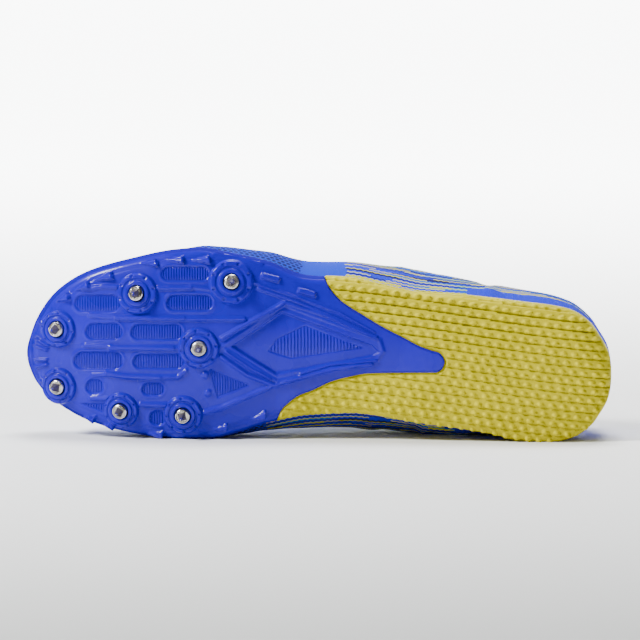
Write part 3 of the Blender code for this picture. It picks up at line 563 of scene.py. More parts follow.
def plate_relief(x, y, distance):
    """How far the plate's surface stands out of its smooth form, given the distance from the outline."""
    px, py = in_photo(x, y)
    relief = RIM_STEP * (ease((distance - RIM_WIDTH) / 0.0008) - 1) * ease(forefoot_share(x))
    for row in HOLLOWS:
        inside = hollow_depth(px, py, *row)
        relief += HOLLOW_LIP * ease((inside + 3.4) / 1.6) * ease((1.4 - inside) / 1.2)
        relief -= HOLLOW_DEPTH * ease((inside + 0.5) / 1.1)
    for corners in CORNERED_HOLLOWS[:2]:
        relief -= CORNERED_DEPTH * ease((shape_depth(px, py, corners) + 0.6) / 1.1)
    bars = np.zeros(px.shape)
    for points, half, height in RIDGES + WALLS:
        bars = np.maximum(bars, height * ease((half + 1.0 - run_distance(px, py, points)) / 1.6))
    for points in TOE_BARS:
        bars = np.maximum(bars, TOE_BAR_HEIGHT * ease((2.0 - run_distance(px, py, points)) / 1.3))
    for cx, cy, radius in DOTS:
        bars = np.maximum(bars, DOT_HEIGHT * ease((radius + 0.5 - np.hypot(px - cx, py - cy)) / 1.2))
    low, high = TOOTH_HEIGHTS
    for corners in TEETH:
        tip, steep = corners[0], (corners[1][0] + corners[2][0]) / 2
        share = np.clip((px - tip[0]) / (steep - tip[0]), 0, 1)
        inside = shape_depth(px, py, corners)
        bars = np.maximum(bars, (low + (high - low) * share) * ease((inside + 0.5) / 0.7))
    for cx, cy, long, half, turn in EDGE_BARS:
        angle = math.radians(turn)
        run, aside = turned(px - cx, py - cy, angle)
        inside = np.minimum(half - np.abs(aside), long / 2 - np.abs(run))
        bars = np.maximum(bars, EDGE_BAR_HEIGHT * ease((inside + 0.6) / 1.1))
    relief += DIAMOND_SILL * ease((shape_depth(px, py, DIAMOND_STEPS[0][0]) + 5) / 3)
    for corners, step in DIAMOND_STEPS:
        relief += step * ease((shape_depth(px, py, corners) + 0.6) / 1.4)
    relief -= DIAMOND_FLOOR_STEP * ease((shape_depth(px, py, CORNERED_HOLLOWS[2]) + 0.4) / 0.9)
    relief += bars
    relief -= TOE_GROOVE_DEPTH * ease((2.2 - run_distance(px, py, TOE_GROOVE)) / 1.6)
    return relief


def foam_relief(x, y):
    """Rows of small bumps on shallow steps, which run a little askew along the foam."""
    pitch, spacing = FOAM_ROW_PITCH, FOAM_BUMP_SPACING
    across = (y - FOAM_ROW_SLOPE * x) / pitch + 0.12 * np.sin(x / 0.021)
    row = np.floor(across)
    share = across - row
    side = ease((y + 0.012) / 0.030)
    step = FOAM_STEP * (share - 0.5) * (0.5 + 0.5 * side)
    crack = -FOAM_CRACK * np.exp(-((share - 0.03) / 0.07) ** 2) * (0.45 + 0.55 * side)
    along = x / spacing + (row % 2) * 0.5 + 0.13 * np.sin(row * 2.3)
    number = np.floor(along)
    wobble = np.sin(row * 12.9898 + number * 78.233) * 43758.5453
    wobble -= np.floor(wobble)
    run = (along - number - 0.5 + (wobble - 0.5) * 0.12) * spacing
    aside = (share - 0.36) * pitch + 0.25 * run * side
    long = np.where(run > 0, 0.0014, 0.0021 + 0.0003 * side)
    wide = 0.00125 - 0.00025 * side + 0.00015 * wobble
    round_off = 1 - (run / long) ** 2 - (aside / wide) ** 2
    bump = (FOAM_BUMP_HEIGHT + 0.0003 * wobble) * np.clip(round_off, 0, 1) ** 0.8
    return step + crack + bump


def give(piece, collection_slot, *nodes):
    """Hand a finished piece to the frame: hang it under the root body and hide the nodes that it stands for; the
    slot is not used.
    """
    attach(piece, "root")
    if nodes:
        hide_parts(*nodes)
    return piece


def new_piece(name, bm, materials):
    """Object from a bmesh in the shoe's frame, set in place in its mesh."""
    mesh = bpy.data.meshes.new(name)
    bm.to_mesh(mesh)
    bm.free()
    mesh.transform(SHOE)
    for material in materials:
        mesh.materials.append(material)
    mesh.shade_smooth()
    piece = bpy.data.objects.new(name, mesh)
    bpy.context.scene.collection.objects.link(piece)
    return piece


def grid_mesh(points, uvs=None, weld=1e-5, flip=False):
    """bmesh of a grid of points, from bmesh's own grid with its corners moved into place."""
    rows, columns = points.shape[:2]
    bm = bmesh.new()
    bmesh.ops.create_grid(bm, x_segments=columns - 1, y_segments=rows - 1, size=1)
    bm.verts.ensure_lookup_table()
    order = sorted(range(len(bm.verts)), key=lambda k: (round(bm.verts[k].co.y, 6),
                                                        round(bm.verts[k].co.x, 6)))
    flat = points.reshape(-1, 3).tolist()
    if uvs is not None:
        layer = bm.loops.layers.uv.new("surface")
        flat_uvs = uvs.reshape(-1, 2).tolist()
        of_vertex = {bm.verts[index]: flat_uvs[k] for k, index in enumerate(order)}
        for face in bm.faces:
            for loop in face.loops:
                loop[layer].uv = of_vertex[loop.vert]
    for k, index in enumerate(order):
        bm.verts[index].co = flat[k]
    if flip:
        bmesh.ops.reverse_faces(bm, faces=bm.faces)
    if weld:
        bmesh.ops.remove_doubles(bm, verts=bm.verts, dist=weld)
        bmesh.ops.dissolve_degenerate(bm, edges=bm.edges, dist=1e-7)
    return bm


def plan_mesh(points, weld=1e-5, flip=False):
    """bmesh of a grid of points whose surface coordinates are its places in plan, in centimetres."""
    return grid_mesh(points, points[..., :2] * 100, weld, flip)


def facing(bm, way):
    """bmesh whose faces look up (1) or down (-1) on the whole."""
    if sum(face.normal.z for face in bm.faces) * way < 0:
        bmesh.ops.reverse_faces(bm, faces=bm.faces)
    return bm


def outwards(bm):
    bmesh.ops.recalc_face_normals(bm, faces=bm.faces)
    return bm


def joined(parts):
    """One bmesh from several, through a mesh that is removed again."""
    whole = bmesh.new()
    for part in parts:
        carrier = bpy.data.meshes.new("carrier")
        part.to_mesh(carrier)
        part.free()
        whole.from_mesh(carrier)
        bpy.data.meshes.remove(carrier)
    return whole


def upper_rows(side, along, steps):
    """Points of the upper's outer face, a row for each station, from the sole's edge to the top."""
    along = np.asarray(along, float)
    sign = SIDE_SIGN[side]
    values = {name: curve(along) for name, curve in UPPER_CURVES.items()}
    out = sole_outward(side, along)
    tuck = UPPER_TUCK * np.clip((along - TUCK_START) / TUCK_FADE, 0, 1)
    tuck *= np.clip((1 - along) / TUCK_TOE_FADE, 0, 1)
    low = sole_edge(side, along) - out * (UPPER_INSET + tuck * (side == "lateral"))[:, None]
    low = np.concatenate([low, (midsole_top(low[:, 0], low[:, 1]) + GAP * 2)[:, None]], 1)
    tip = np.maximum(along - 0.9, 0) / 0.1
    high = np.stack([along * LENGTH - 0.004 * tip ** 3,
                     (values["ridge"] + sign * values["opening"]) * BALL_WIDTH,
                     values["top"] * INSTEP_HEIGHT], 1)
    overhang = np.maximum(values["out_" + side] * BALL_WIDTH + UPPER_INSET, 0.0002)
    tall = high[:, 2] - low[:, 2]
    upright = values["upright"]
    inwards = (high - low)[:, :2]
    reach = np.linalg.norm(inwards, axis=1)
    direction = np.where(reach[:, None] > 1e-6, -inwards / np.maximum(reach, 1e-9)[:, None], out)
    handle = 0.62 * reach * (1 - upright) + 0.45 * tall * upright
    lean = np.radians(8 + 66 * upright)
    top_handle = high + np.concatenate([direction * np.cos(lean)[:, None], -np.sin(lean)[:, None]],
                                       1) * handle[:, None]
    u = np.linspace(0, 1, steps + 1)[None, :, None]
    rise = tall * (0.42 + 0.12 * (1 - upright))

    def curve(push):
        low_handle = low + np.concatenate([out * push[:, None], rise[:, None]], 1)
        return (low[:, None] * (1 - u) ** 3 + low_handle[:, None] * 3 * u * (1 - u) ** 2
                + top_handle[:, None] * 3 * u * u * (1 - u) + high[:, None] * u ** 3)

    least, most = np.full(len(along), -0.02), np.full(len(along), 0.06)
    for _ in range(24):
        middle = (least + most) / 2
        fullest = np.einsum("ijk,ik->ij", (curve(middle) - low[:, None])[..., :2], out).max(1)
        least, most = np.where(fullest < overhang, middle, least), np.where(fullest < overhang, most, middle)
    points = curve((least + most) / 2)
    near_heel = np.maximum(1 - along * LENGTH / HEEL_BACK_REACH, 0) ** 1.5
    share = np.clip((points[..., 2] - HEEL_STACK) / (HEEL_HEIGHT - HEEL_STACK), 0, 1)
    inset = HEEL_BACK_DEPTH * np.interp(share, [row[0] for row in HEEL_BACK], [row[1] for row in HEEL_BACK])
    points[..., 0] += inset * near_heel[:, None]
    return points


def surface_point(side, along, inset):
    """Point of the upper at a distance down from its top edge, with its outward direction."""
    points = upper_rows(side, np.array([along]), 60)[0][::-1]
    gone = length_along(points)
    point = Vector([np.interp(inset, gone, points[:, k]) for k in range(3)])
    k = min(int(np.searchsorted(gone, max(inset, 1e-6))), len(points) - 1)
    run = points[k] - points[k - 1]
    turn = Vector((0, -run[2], run[1]))
    turn = turn if turn.z > 0 else -turn
    return point, turn.normalized()


def eyelet_rows():
    return [.625 - .2 * k / (EYELET_PAIRS - 1) for k in range(EYELET_PAIRS)]


def tongue_row(along):
    """Points across the tongue's outer face at a station."""
    sides = {}
    for side in ("medial", "lateral"):
        sides[side] = []
        for inset in (0.0155, 0.010, 0.005, 0.0005):
            point, turn = surface_point(side, along, inset)
            sides[side].append(point - turn * (UPPER_WALL + 0.0012))
    one, two = sides["medial"][-1], sides["lateral"][-1]
    crown = 0.16 * (two.y - one.y)
    middle = []
    for k in range(1, 6):
        u = k / 6
        point = one.lerp(two, u)
        point.z += 4 * crown * u * (1 - u)
        middle.append(point)
    return sides["medial"] + middle + sides["lateral"][::-1]


def grid_normals(points):
    """Directions out of a grid of points, by its own rows and columns."""
    across = np.gradient(points, axis=1)
    along = np.gradient(points, axis=0)
    turn = np.cross(along, across)
    length = np.linalg.norm(turn, axis=-1, keepdims=True)
    return turn / np.maximum(length, 1e-12)


def smooth_run(points, count):
    """Points evenly along a smooth curve through a few points."""
    points = np.array([tuple(point) for point in points], float)
    fine = []
    for k in range(len(points) - 1):
        before = points[max(k - 1, 0)]
        one, two = points[k], points[k + 1]
        after = points[min(k + 2, len(points) - 1)]
        for u in np.linspace(0, 1, 24, endpoint=False):
            fine.append(0.5 * (2 * one + (two - before) * u + (2 * before - 5 * one + 4 * two - after) * u ** 2
                               + (3 * one - before - 3 * two + after) * u ** 3))
    return evenly(np.array(fine + [points[-1]]), count)


def sweep(run, flat_side, half_wide, half_thick, around, closed=False):
    """Grid of points round a run, with an oval section whose thin way is flat_side."""
    if closed:
        ahead = np.roll(run, -1, 0) - np.roll(run, 1, 0)
    else:
        ahead = np.gradient(run, axis=0)
    ahead /= np.linalg.norm(ahead, axis=1, keepdims=True)
    thin = flat_side - (flat_side * ahead).sum(1, keepdims=True) * ahead
    thin /= np.linalg.norm(thin, axis=1, keepdims=True)
    wide = np.cross(ahead, thin)
    turn = np.linspace(0, 2 * math.pi, around + 1)
    grid = (run[:, None] + wide[:, None] * (half_wide * np.cos(turn))[None, :, None]
            + thin[:, None] * (half_thick * np.sin(turn))[None, :, None])
    gone = length_along(run)
    if closed:
        grid = np.concatenate([grid, grid[:1]])
        gone = np.append(gone, gone[-1] + np.linalg.norm(run[0] - run[-1]))
    uvs = np.stack(np.broadcast_arrays(gone[:, None] * 100, (turn / (2 * math.pi))[None, :]), -1)
    return grid, uvs


# Materials


def linear(red, green, blue):
    """Colour from the 0 to 255 scale that a picture is measured in."""
    def one(value):
        share = value / 255
        return share / 12.92 if share <= 0.04045 else ((share + 0.055) / 1.055) ** 2.4
    return one(red), one(green), one(blue), 1


def shade(colour, share):
    """A property's colour made lighter or darker by a share, as a socket takes it."""
    return tuple(min(value * share, 1) for value in colour) + (1,)


def fill_inputs(tree, made, inputs):
    """Link sockets to a node's inputs, or set their values."""
    for key, value in inputs.items():
        if isinstance(value, bpy.types.NodeSocket):
            tree.links.new(value, made.inputs[key])
        else:
            made.inputs[key].default_value = value


def node(tree, kind, inputs=None, **settings):
    """Node with its settings, and values or links for its inputs."""
    made = tree.nodes.new(kind)
    for key, value in settings.items():
        setattr(made, key, value)
    fill_inputs(tree, made, inputs or {})
    return made


def maths(tree, operation, *values):
    return node(tree, "ShaderNodeMath", dict(enumerate(values)), operation=operation).outputs[0]


def blend(tree, share, one, two):
    """Colour between two, by a share."""
    return node(tree, "ShaderNodeMix", {0: share, 6: one, 7: two}, data_type="RGBA").outputs[2]


def ranged(tree, value, low, high, to_low=0.0, to_high=1.0):
    return node(tree, "ShaderNodeMapRange", {0: value, 1: low, 2: high, 3: to_low, 4: to_high},
                interpolation_type="SMOOTHSTEP").outputs[0]


def new_group(name, outputs, **inputs):
    """Node group with its sockets; gives the group, its input sockets and its output node."""
    group = bpy.data.node_groups.new(name, "ShaderNodeTree")
    for way, sockets in (("INPUT", inputs), ("OUTPUT", outputs)):
        for socket, kind in sockets.items():
            group.interface.new_socket(name=socket, in_out=way, socket_type="NodeSocket" + kind)
    start = group.nodes.new("NodeGroupInput")
    end = group.nodes.new("NodeGroupOutput")
    return group, start.outputs, end


def separated(tree, place):
    return node(tree, "ShaderNodeSeparateXYZ", {0: place}).outputs


def use_group(tree, name, inputs):
    return node(tree, "ShaderNodeGroup", inputs, node_tree=bpy.data.node_groups[name]).outputs


def make_grain_group():
    """Fine moulded grain: a height and a change of gloss."""
    group, given, end = new_group("moulded_grain", Place="Vector", Scale="Float",
                                  outputs={"Height": "Float", "Uneven": "Float"})
    fine = node(group, "ShaderNodeTexNoise", {"Vector": given["Place"], "Scale": given["Scale"], "Detail": 4.0})
    wide = node(group, "ShaderNodeTexNoise", {"Vector": given["Place"], "Scale": 38.0, "Detail": 3.0})
    group.links.new(fine.outputs[0], end.inputs["Height"])
    group.links.new(wide.outputs[0], end.inputs["Uneven"])


def make_knit_group():
    """Knit loops: zigzag rows of broken coloured yarn, with the height of the yarn."""
    group, given, end = new_group("knit_rows", Place="Vector", outputs={"Stripes": "Color", "Spots": "Float",
                                                                        "Height": "Float"})
    parts = separated(group, given["Place"])
    wave = maths(group, "PINGPONG", parts[0], 0.14)
    up = maths(group, "MULTIPLY_ADD", wave, 0.5, parts[1])
    row_place = maths(group, "DIVIDE", up, 0.088)
    row = maths(group, "FLOOR", row_place)
    share = maths(group, "FRACT", row_place)
    dash = maths(group, "FLOOR", maths(group, "MULTIPLY_ADD", parts[0], 0.35, maths(group, "MULTIPLY", row, 0.37)))
    seed = node(group, "ShaderNodeCombineXYZ", {0: row, 1: dash}).outputs[0]
    random = node(group, "ShaderNodeTexWhiteNoise", {"Vector": seed}, noise_dimensions="2D").outputs["Value"]
    kind = maths(group, "FRACT", maths(group, "ADD", maths(group, "MULTIPLY", row, 0.4),
                                       maths(group, "MULTIPLY", random, 0.24)))
    ramp = node(group, "ShaderNodeValToRGB", {0: kind})
    ramp.color_ramp.interpolation = "CONSTANT"
    colours = ((0, (10, 28, 206)), (.24, (190, 190, 4)), (.40, (18, 16, 74)), (.54, (12, 34, 206)),
               (.62, (196, 194, 6)), (.74, (8, 118, 176)), (.84, (12, 40, 210)), (.93, (16, 14, 70)))
    elements = ramp.color_ramp.elements
    while len(elements) < len(colours):
        elements.new(0.5)
    for element, (position, colour) in zip(elements, colours):
        element.position = position
        element.color = linear(*colour)
    dip = maths(group, "SINE", maths(group, "MULTIPLY", share, math.pi))
    loops = maths(group, "ABSOLUTE", maths(group, "SINE", maths(group, "MULTIPLY", parts[0], math.pi / 0.105)))
    height = maths(group, "MULTIPLY_ADD", loops, 0.35, dip)
    mesh_row = maths(group, "DIVIDE", parts[1], 0.24)
    shift = maths(group, "MULTIPLY", maths(group, "FLOOR", mesh_row), 0.5)
    mesh_place = maths(group, "FRACT", maths(group, "MULTIPLY_ADD", parts[0], 3.9, shift))
    across = maths(group, "SUBTRACT", mesh_place, 0.5)
    above = maths(group, "SUBTRACT", maths(group, "FRACT", mesh_row), 0.5)
    far = maths(group, "SQRT", maths(group, "ADD", maths(group, "MULTIPLY", across, across),
                                     maths(group, "MULTIPLY", above, above)))
    spots = ranged(group, far, 0.42, 0.32)
    # Painted shade: the edges of each row, where the yarn dips, are blended towards dark navy
    painted_groove_shade = maths(group, "MULTIPLY", ranged(group, dip, 0.0, 0.45, 1.0, 0.0), 0.35)
    group.links.new(blend(group, painted_groove_shade, ramp.outputs[0], linear(14, 14, 66)), end.inputs["Stripes"])
    group.links.new(spots, end.inputs["Spots"])
    group.links.new(height, end.inputs["Height"])


def make_weave_group():
    """Plain weave: over and under threads."""
    group, given, end = new_group("plain_weave", Place="Vector", Count="Float", outputs={"Height": "Float"})
    parts = separated(group, given["Place"])
    one, two = (maths(group, "SINE", maths(group, "MULTIPLY", parts[k], given["Count"])) for k in (0, 1))
    group.links.new(maths(group, "MULTIPLY", one, two), end.inputs["Height"])


def new_material(name, colour, roughness, **sockets):
    """Material with a Principled shader; other sockets by name with underscores for spaces."""
    material = bpy.data.materials.new(name)
    material.use_nodes = True
    tree = material.node_tree
    shader = tree.nodes["Principled BSDF"]
    values = {"Base Color": colour, "Roughness": roughness}
    values.update({key.replace("_", " "): value for key, value in sockets.items()})
    fill_inputs(tree, shader, values)
    return material, tree, shader


def link_mottle(tree, shader, colour, uneven):
    """A colour a little darker and lighter by turns."""
    tree.links.new(blend(tree, ranged(tree, uneven, 0.35, 0.7), shade(colour, 0.93), shade(colour, 1.07)),
                   shader.inputs["Base Color"])


def use_grain(tree, scale):
    return use_group(tree, "moulded_grain", {"Place": object_place(tree), "Scale": scale})


def link_bump(tree, shader, height, strength, distance):
    bump = node(tree, "ShaderNodeBump", {"Height": height, "Strength": strength, "Distance": distance})
    tree.links.new(bump.outputs[0], shader.inputs["Normal"])


def object_place(tree):
    return node(tree, "ShaderNodeTexCoord").outputs["Object"]


def surface_place(tree):
    return node(tree, "ShaderNodeUVMap", uv_map="surface").outputs[0]


def make_hard_materials(settings):
    """Plastic, foam and steel, by name."""
    made = {}
    material, tree, shader = new_material("blue_plastic", shade(settings.plate_colour, 1), 0.30,
                                          Coat_Weight=0.20, Coat_Roughness=0.08, Specular_IOR_Level=0.10)
    grain = use_grain(tree, 900.0)
    link_mottle(tree, shader, settings.plate_colour, grain["Uneven"])
    tree.links.new(ranged(tree, grain["Uneven"], 0.3, 0.75, 0.22, 0.34), shader.inputs["Roughness"])
    link_bump(tree, shader, grain["Height"], 0.12, 0.0002)
    made["plastic"] = material
    # Outer wall of the plate: matte, with painted shade, the plate's colour darkened to 0.7
    made["plastic_wall_painted_shade"] = new_material("blue_plastic_wall", shade(settings.plate_colour, 0.7), 0.6,
                                        Specular_IOR_Level=0.02)[0]

    material, tree, shader = new_material("yellow_foam", shade(settings.foam_colour, 1), 0.60,
                                          Specular_IOR_Level=0.12)
    grain = use_grain(tree, 1500.0)
    link_mottle(tree, shader, settings.foam_colour, grain["Uneven"])
    link_bump(tree, shader, grain["Height"], 0.2, 0.0003)
    made["foam"] = material

    material, tree, shader = new_material("spike_steel", linear(214, 212, 206), 0.24, Metallic=1.0)
    grain = use_grain(tree, 1400.0)
    tree.links.new(ranged(tree, grain["Uneven"], 0.3, 0.75, 0.18, 0.36), shader.inputs["Roughness"])
    link_bump(tree, shader, grain["Height"], 0.1, 0.0002)
    made["steel"] = material

    # Painted shade and dark reflection: a darker, less metallic copy of the spike steel for the pin's facets
    material, tree, shader = new_material("pin_steel_painted_shade", linear(104, 98, 94), 0.26, Metallic=0.55)
    link_bump(tree, shader, use_grain(tree, 900.0)["Height"], 0.06, 0.0002)
    made["pin"] = material

    # Painted shade: dark blue for the seat round each spike, where the collar shades the boss
    made["seat_shade"] = new_material("seat_shade", linear(12, 18, 60), 0.5)[0]
    return made


def make_knit_materials(settings):
    """The knit of the upper's outer and inner side, by name: blocks along the shoe and striped rows."""
    made = {}
    royal, light, navy = (shade(colour, 1) for colour in (settings.knit_colour, settings.block_colour,
                                                          settings.spot_colour))
    zones = {"outer": ((-1, 1.05, "royal"), (6.9, 12.7, "stripes"), (12.7, 14.9, "light"), (14.9, 40, "mesh")),
             "inner": ((-1, 4.4, "royal"), (7.4, 16.6, "stripes"), (16.6, 40, "mesh"))}
    for side, places in zones.items():
        material, tree, shader = new_material("knit_" + side, royal, 0.82, Sheen_Weight=0.02,
                                              Sheen_Roughness=0.5, Specular_IOR_Level=0.12)
        place = surface_place(tree)
        knit = use_group(tree, "knit_rows", {"Place": place})
        parts = separated(tree, place)
        wander = node(tree, "ShaderNodeTexNoise", {"Vector": place, "Scale": 1.6, "Detail": 2.0}).outputs[0]
        along = maths(tree, "MULTIPLY_ADD", wander, 0.5, maths(tree, "SUBTRACT", parts[0], 0.25))
        meshy = blend(tree, knit["Spots"], light, navy)
        colour = blend(tree, ranged(tree, maths(tree, "ADD", parts[1], maths(tree, "MULTIPLY", wander, 0.3)),
                                    1.25, 1.30), royal, knit["Stripes"])
        for start, stop, what in places:
            inside = maths(tree, "MULTIPLY", ranged(tree, along, start - 0.02, start + 0.02),
                           ranged(tree, along, stop + 0.02, stop - 0.02))
            chosen = {"royal": royal, "stripes": knit["Stripes"], "light": light, "mesh": meshy}[what]
            colour = blend(tree, inside, colour, chosen)
        heel = maths(tree, "MULTIPLY", ranged(tree, parts[0], 1.5, 0.9), ranged(tree, parts[1], 0.26, 0.16))
        tree.links.new(blend(tree, heel, colour, navy), shader.inputs["Base Color"])
        link_bump(tree, shader, knit["Height"], 0.55, 0.0004)
        made["knit_" + side] = material
    return made


def make_woven_materials(settings):
    """Lining, footbed, tongue, lace and binding, by name: plain weaves with painted shade where the threads dip."""
    made = {}
    for name, colour, count, roughness in (("lining", linear(44, 66, 140)[:3], 70.0, 0.9),
                                           ("insole", linear(30, 44, 96)[:3], 60.0, 0.9),
                                           ("tongue_mesh", linear(46, 84, 190)[:3], 55.0, 0.85),
                                           ("lace_cord", settings.lace_colour, 60.0, 0.8),
                                           ("binding", linear(30, 56, 168)[:3], 60.0, 0.85)):
        material, tree, shader = new_material(name, shade(colour, 1), roughness, Sheen_Weight=0.1,
                                              Specular_IOR_Level=0.15)
        weave = use_group(tree, "plain_weave", {"Place": surface_place(tree), "Count": count})
        # Painted shade: the colour darkens to 0.55 of itself where the weave is low, between the threads
        tree.links.new(blend(tree, ranged(tree, weave["Height"], -0.8, 0.6), shade(colour, 0.55), shade(colour, 1)),
                       shader.inputs["Base Color"])
        link_bump(tree, shader, weave["Height"], 0.4, 0.0003)
        made[name] = material
    return made


def make_paper_material():
    """Backdrop paper: painted shade makes it darker in front of the shoe, and painted light makes it glow behind it
    up to the sweep.
    """
    material, tree, shader = new_material("backdrop_paper", linear(225, 226, 228), 0.85)
    parts = separated(tree, object_place(tree))
    far = maths(tree, "ADD", parts[1], parts[2])
    # Painted shade: the paper's colour darkens towards the front
    tree.links.new(blend(tree, ranged(tree, far, -1.1, 0.05), linear(170, 172, 170), linear(242, 243, 243)),
                   shader.inputs["Base Color"])
    # Painted light: the paper glows behind the shoe, up to the sweep, though it is no lamp
    shader.inputs["Emission Color"].default_value = linear(250, 252, 252)
    glow = maths(tree, "MULTIPLY", ranged(tree, far, 0.02, 2.0, 0.0, 8.5), ranged(tree, parts[2], 0.5, 0.2))
    tree.links.new(glow, shader.inputs["Emission Strength"])
    return material


def make_materials(settings):
    """All materials, by name."""
    make_grain_group()
    make_knit_group()
    make_weave_group()
    return {**make_hard_materials(settings), **make_knit_materials(settings), **make_woven_materials(settings),
            "paper": make_paper_material()}


MATERIALS = {}


def material(name):
    """A material by name; all are made on first use."""
    if not MATERIALS:
        MATERIALS.update(make_materials(bpy.context.scene.shoe_settings))
    return MATERIALS[name]


# Pieces


def underside(xs, outer, inner, columns):
    """Places across the underside at stations, and their distance inside the sole's outline."""
    x = np.broadcast_to(xs[:, None], (len(xs), columns)).copy()
    y = outer[:, None] + (inner - outer)[:, None] * np.linspace(0, 1, columns)
    return x, y, outline_distance(x, y)


def downward_normals(face):
    """Directions out of a grid of points, all turned down."""
    normals = grid_normals(face)
    return normals * np.where(normals[..., 2:] > 0, -1, 1)


def build_plate(settings):
    """Spike plate: tray, rim, tail and all its moulded relief."""
    cap = np.linspace(0, math.pi / 2, TAIL_CAP_STATIONS)[:-1]
    toe = np.linspace(0, math.pi / 2, TOE_STATIONS)
    xs = np.concatenate([TAIL_TIP_X + TAIL_TIP_RADIUS * (1 - np.cos(cap)),
                         np.linspace(TAIL_TIP_X + TAIL_TIP_RADIUS, TOE_START, PLATE_STATIONS)[:-1],
                         TOE_START + (LENGTH - TOE_START) * np.sin(toe)])
    xs = np.minimum(xs, LENGTH - 1e-6)
    outer, inner = plate_edge("lateral", xs), plate_edge("medial", xs)
    x, y, distance = underside(xs, outer, inner, PLATE_COLUMNS)
    at_edge = np.minimum(y - inner[:, None], outer[:, None] - y)
    lift = edge_lift(distance)
    z = ground(x, y) + lift - PLATE_PROUD * tail_share(x) * ease(at_edge / 0.0010)
    face = np.stack([x, y, z], -1)
    normals = downward_normals(face)
    keep = ease((SOLE_EDGE_RADIUS * 0.9 - lift) / SOLE_EDGE_RADIUS * 1.4)
    relief = plate_relief(x, y, distance) * settings.relief
    for place, share in zip(SPIKES, BOSS_SHARES):
        cx, cy = place[0] * LENGTH, place[1] * BALL_WIDTH
        relief *= ease((np.hypot(x - cx, y - cy) - BOSS_RADIUS * share * 0.97) / 0.0006)
    face += normals * (relief * keep)[..., None]
    sides = []
    for edge_y, sign, side in ((outer, 1, "lateral"), (inner, -1, "medial")):
        free = xs / LENGTH < TAIL_ENDS[side]
        out = sole_outward(side, np.minimum(xs / LENGTH, 1))
        rows = []
        for inset, rise_rim, rise_free in ((0, PLATE_RIM - 0.0002, 0.0008), (0.0002, PLATE_RIM, 0.0014),
                                           (0.0014, PLATE_RIM, 0.0018)):
            rim_x = xs - out[:, 0] * inset * ~free
            rim_y = edge_y - np.where(free, sign * inset * 0.5, out[:, 1] * inset)
            rows.append(np.stack([rim_x, rim_y, ground(rim_x, rim_y) + np.where(free, rise_free, rise_rim)], -1))
        sides.append(np.stack(rows, 1))
    grid = flatten_on_floor(np.concatenate([sides[0][:, ::-1], face, sides[1]], 1))
    parts = [plan_mesh(grid, flip=True)]
    parts[0].normal_update()
    centres = np.array([face.calc_center_median() for face in parts[0].faces])
    near_edge = outline_distance(centres[:, 0], centres[:, 1]) < WALL_BAND
    # Steep faces near the edge take the outer wall's painted shade
    for face, near in zip(parts[0].faces, near_edge):
        face.material_index = 2 * int(near and abs(face.normal.z) < WALL_STEEPNESS)
    for row in HOLLOWS:
        parts.append(rib_mesh(lambda px, row=row: stadium_chord(px, *row), row[0], row[2], RIB_PITCH,
                              HOLLOW_DEPTH))
    for corners, pitch, depth in zip(CORNERED_HOLLOWS, (RIB_PITCH, RIB_PITCH, DIAMOND_RIB_PITCH),
                                     (CORNERED_DEPTH, CORNERED_DEPTH, DIAMOND_FLOOR_DEPTH)):
        across = [corner[0] for corner in corners]
        parts.append(rib_mesh(lambda px, shape=corners: corner_chord(px, shape), min(across), max(across),
                              pitch, depth))
    parts += [boss_mesh(place, share) for place, share in zip(SPIKES, BOSS_SHARES)]
    piece = new_piece("spike_plate", joined(parts), [material("plastic"), material("seat_shade"),
                                                      material("plastic_wall_painted_shade")])
    return give(piece, "plate", "spike_plate")


def stadium_chord(px, left, top, right, bottom):
    """Top and bottom of a round-ended hollow at a place along it."""
    radius, middle = (bottom - top) / 2, (top + bottom) / 2
    over = max(left + radius - px, px - (right - radius), 0)
    half = math.sqrt(max(radius ** 2 - over ** 2, 0))
    return middle - half, middle + half


def corner_chord(px, corners):
    """Top and bottom of a hollow with corners at a place along it."""
    hits = []
    for (ax, ay), (bx, by) in edges_of(corners):
        if min(ax, bx) <= px <= max(ax, bx) and ax != bx:
            hits.append(ay + (by - ay) * (px - ax) / (bx - ax))
    return min(hits), max(hits)


def rib_mesh(chord, left, right, pitch, depth):
    """Fine ribs on the floor of a hollow: they run across the shoe."""
    rows = []
    px = left + 0.25
    while px < right - 0.2:
        top, bottom = chord(px)
        middle, half = (top + bottom) / 2, max((bottom - top) / 2 - 0.15, 0.05)
        wave = 0.5 - 0.5 * math.cos(2 * math.pi * (px - left) / pitch)
        row = []
        for across in np.linspace(-1, 1, RIB_STEPS):
            x, y = on_sole(px, middle + half * across)
            out = downward(np.array(x), np.array(y))
            fade = min((1 - abs(across)) * 6, 1)
            lift = PLATE_PROUD * tail_share(x) - depth + 0.00005 + RIB_HEIGHT * wave * fade
            row.append(np.array((x, y, float(ground(x, y)))) + out * lift)
        rows.append(row)
        px += pitch / RIB_STEPS
    return facing(plan_mesh(np.array(rows), weld=0), -1)


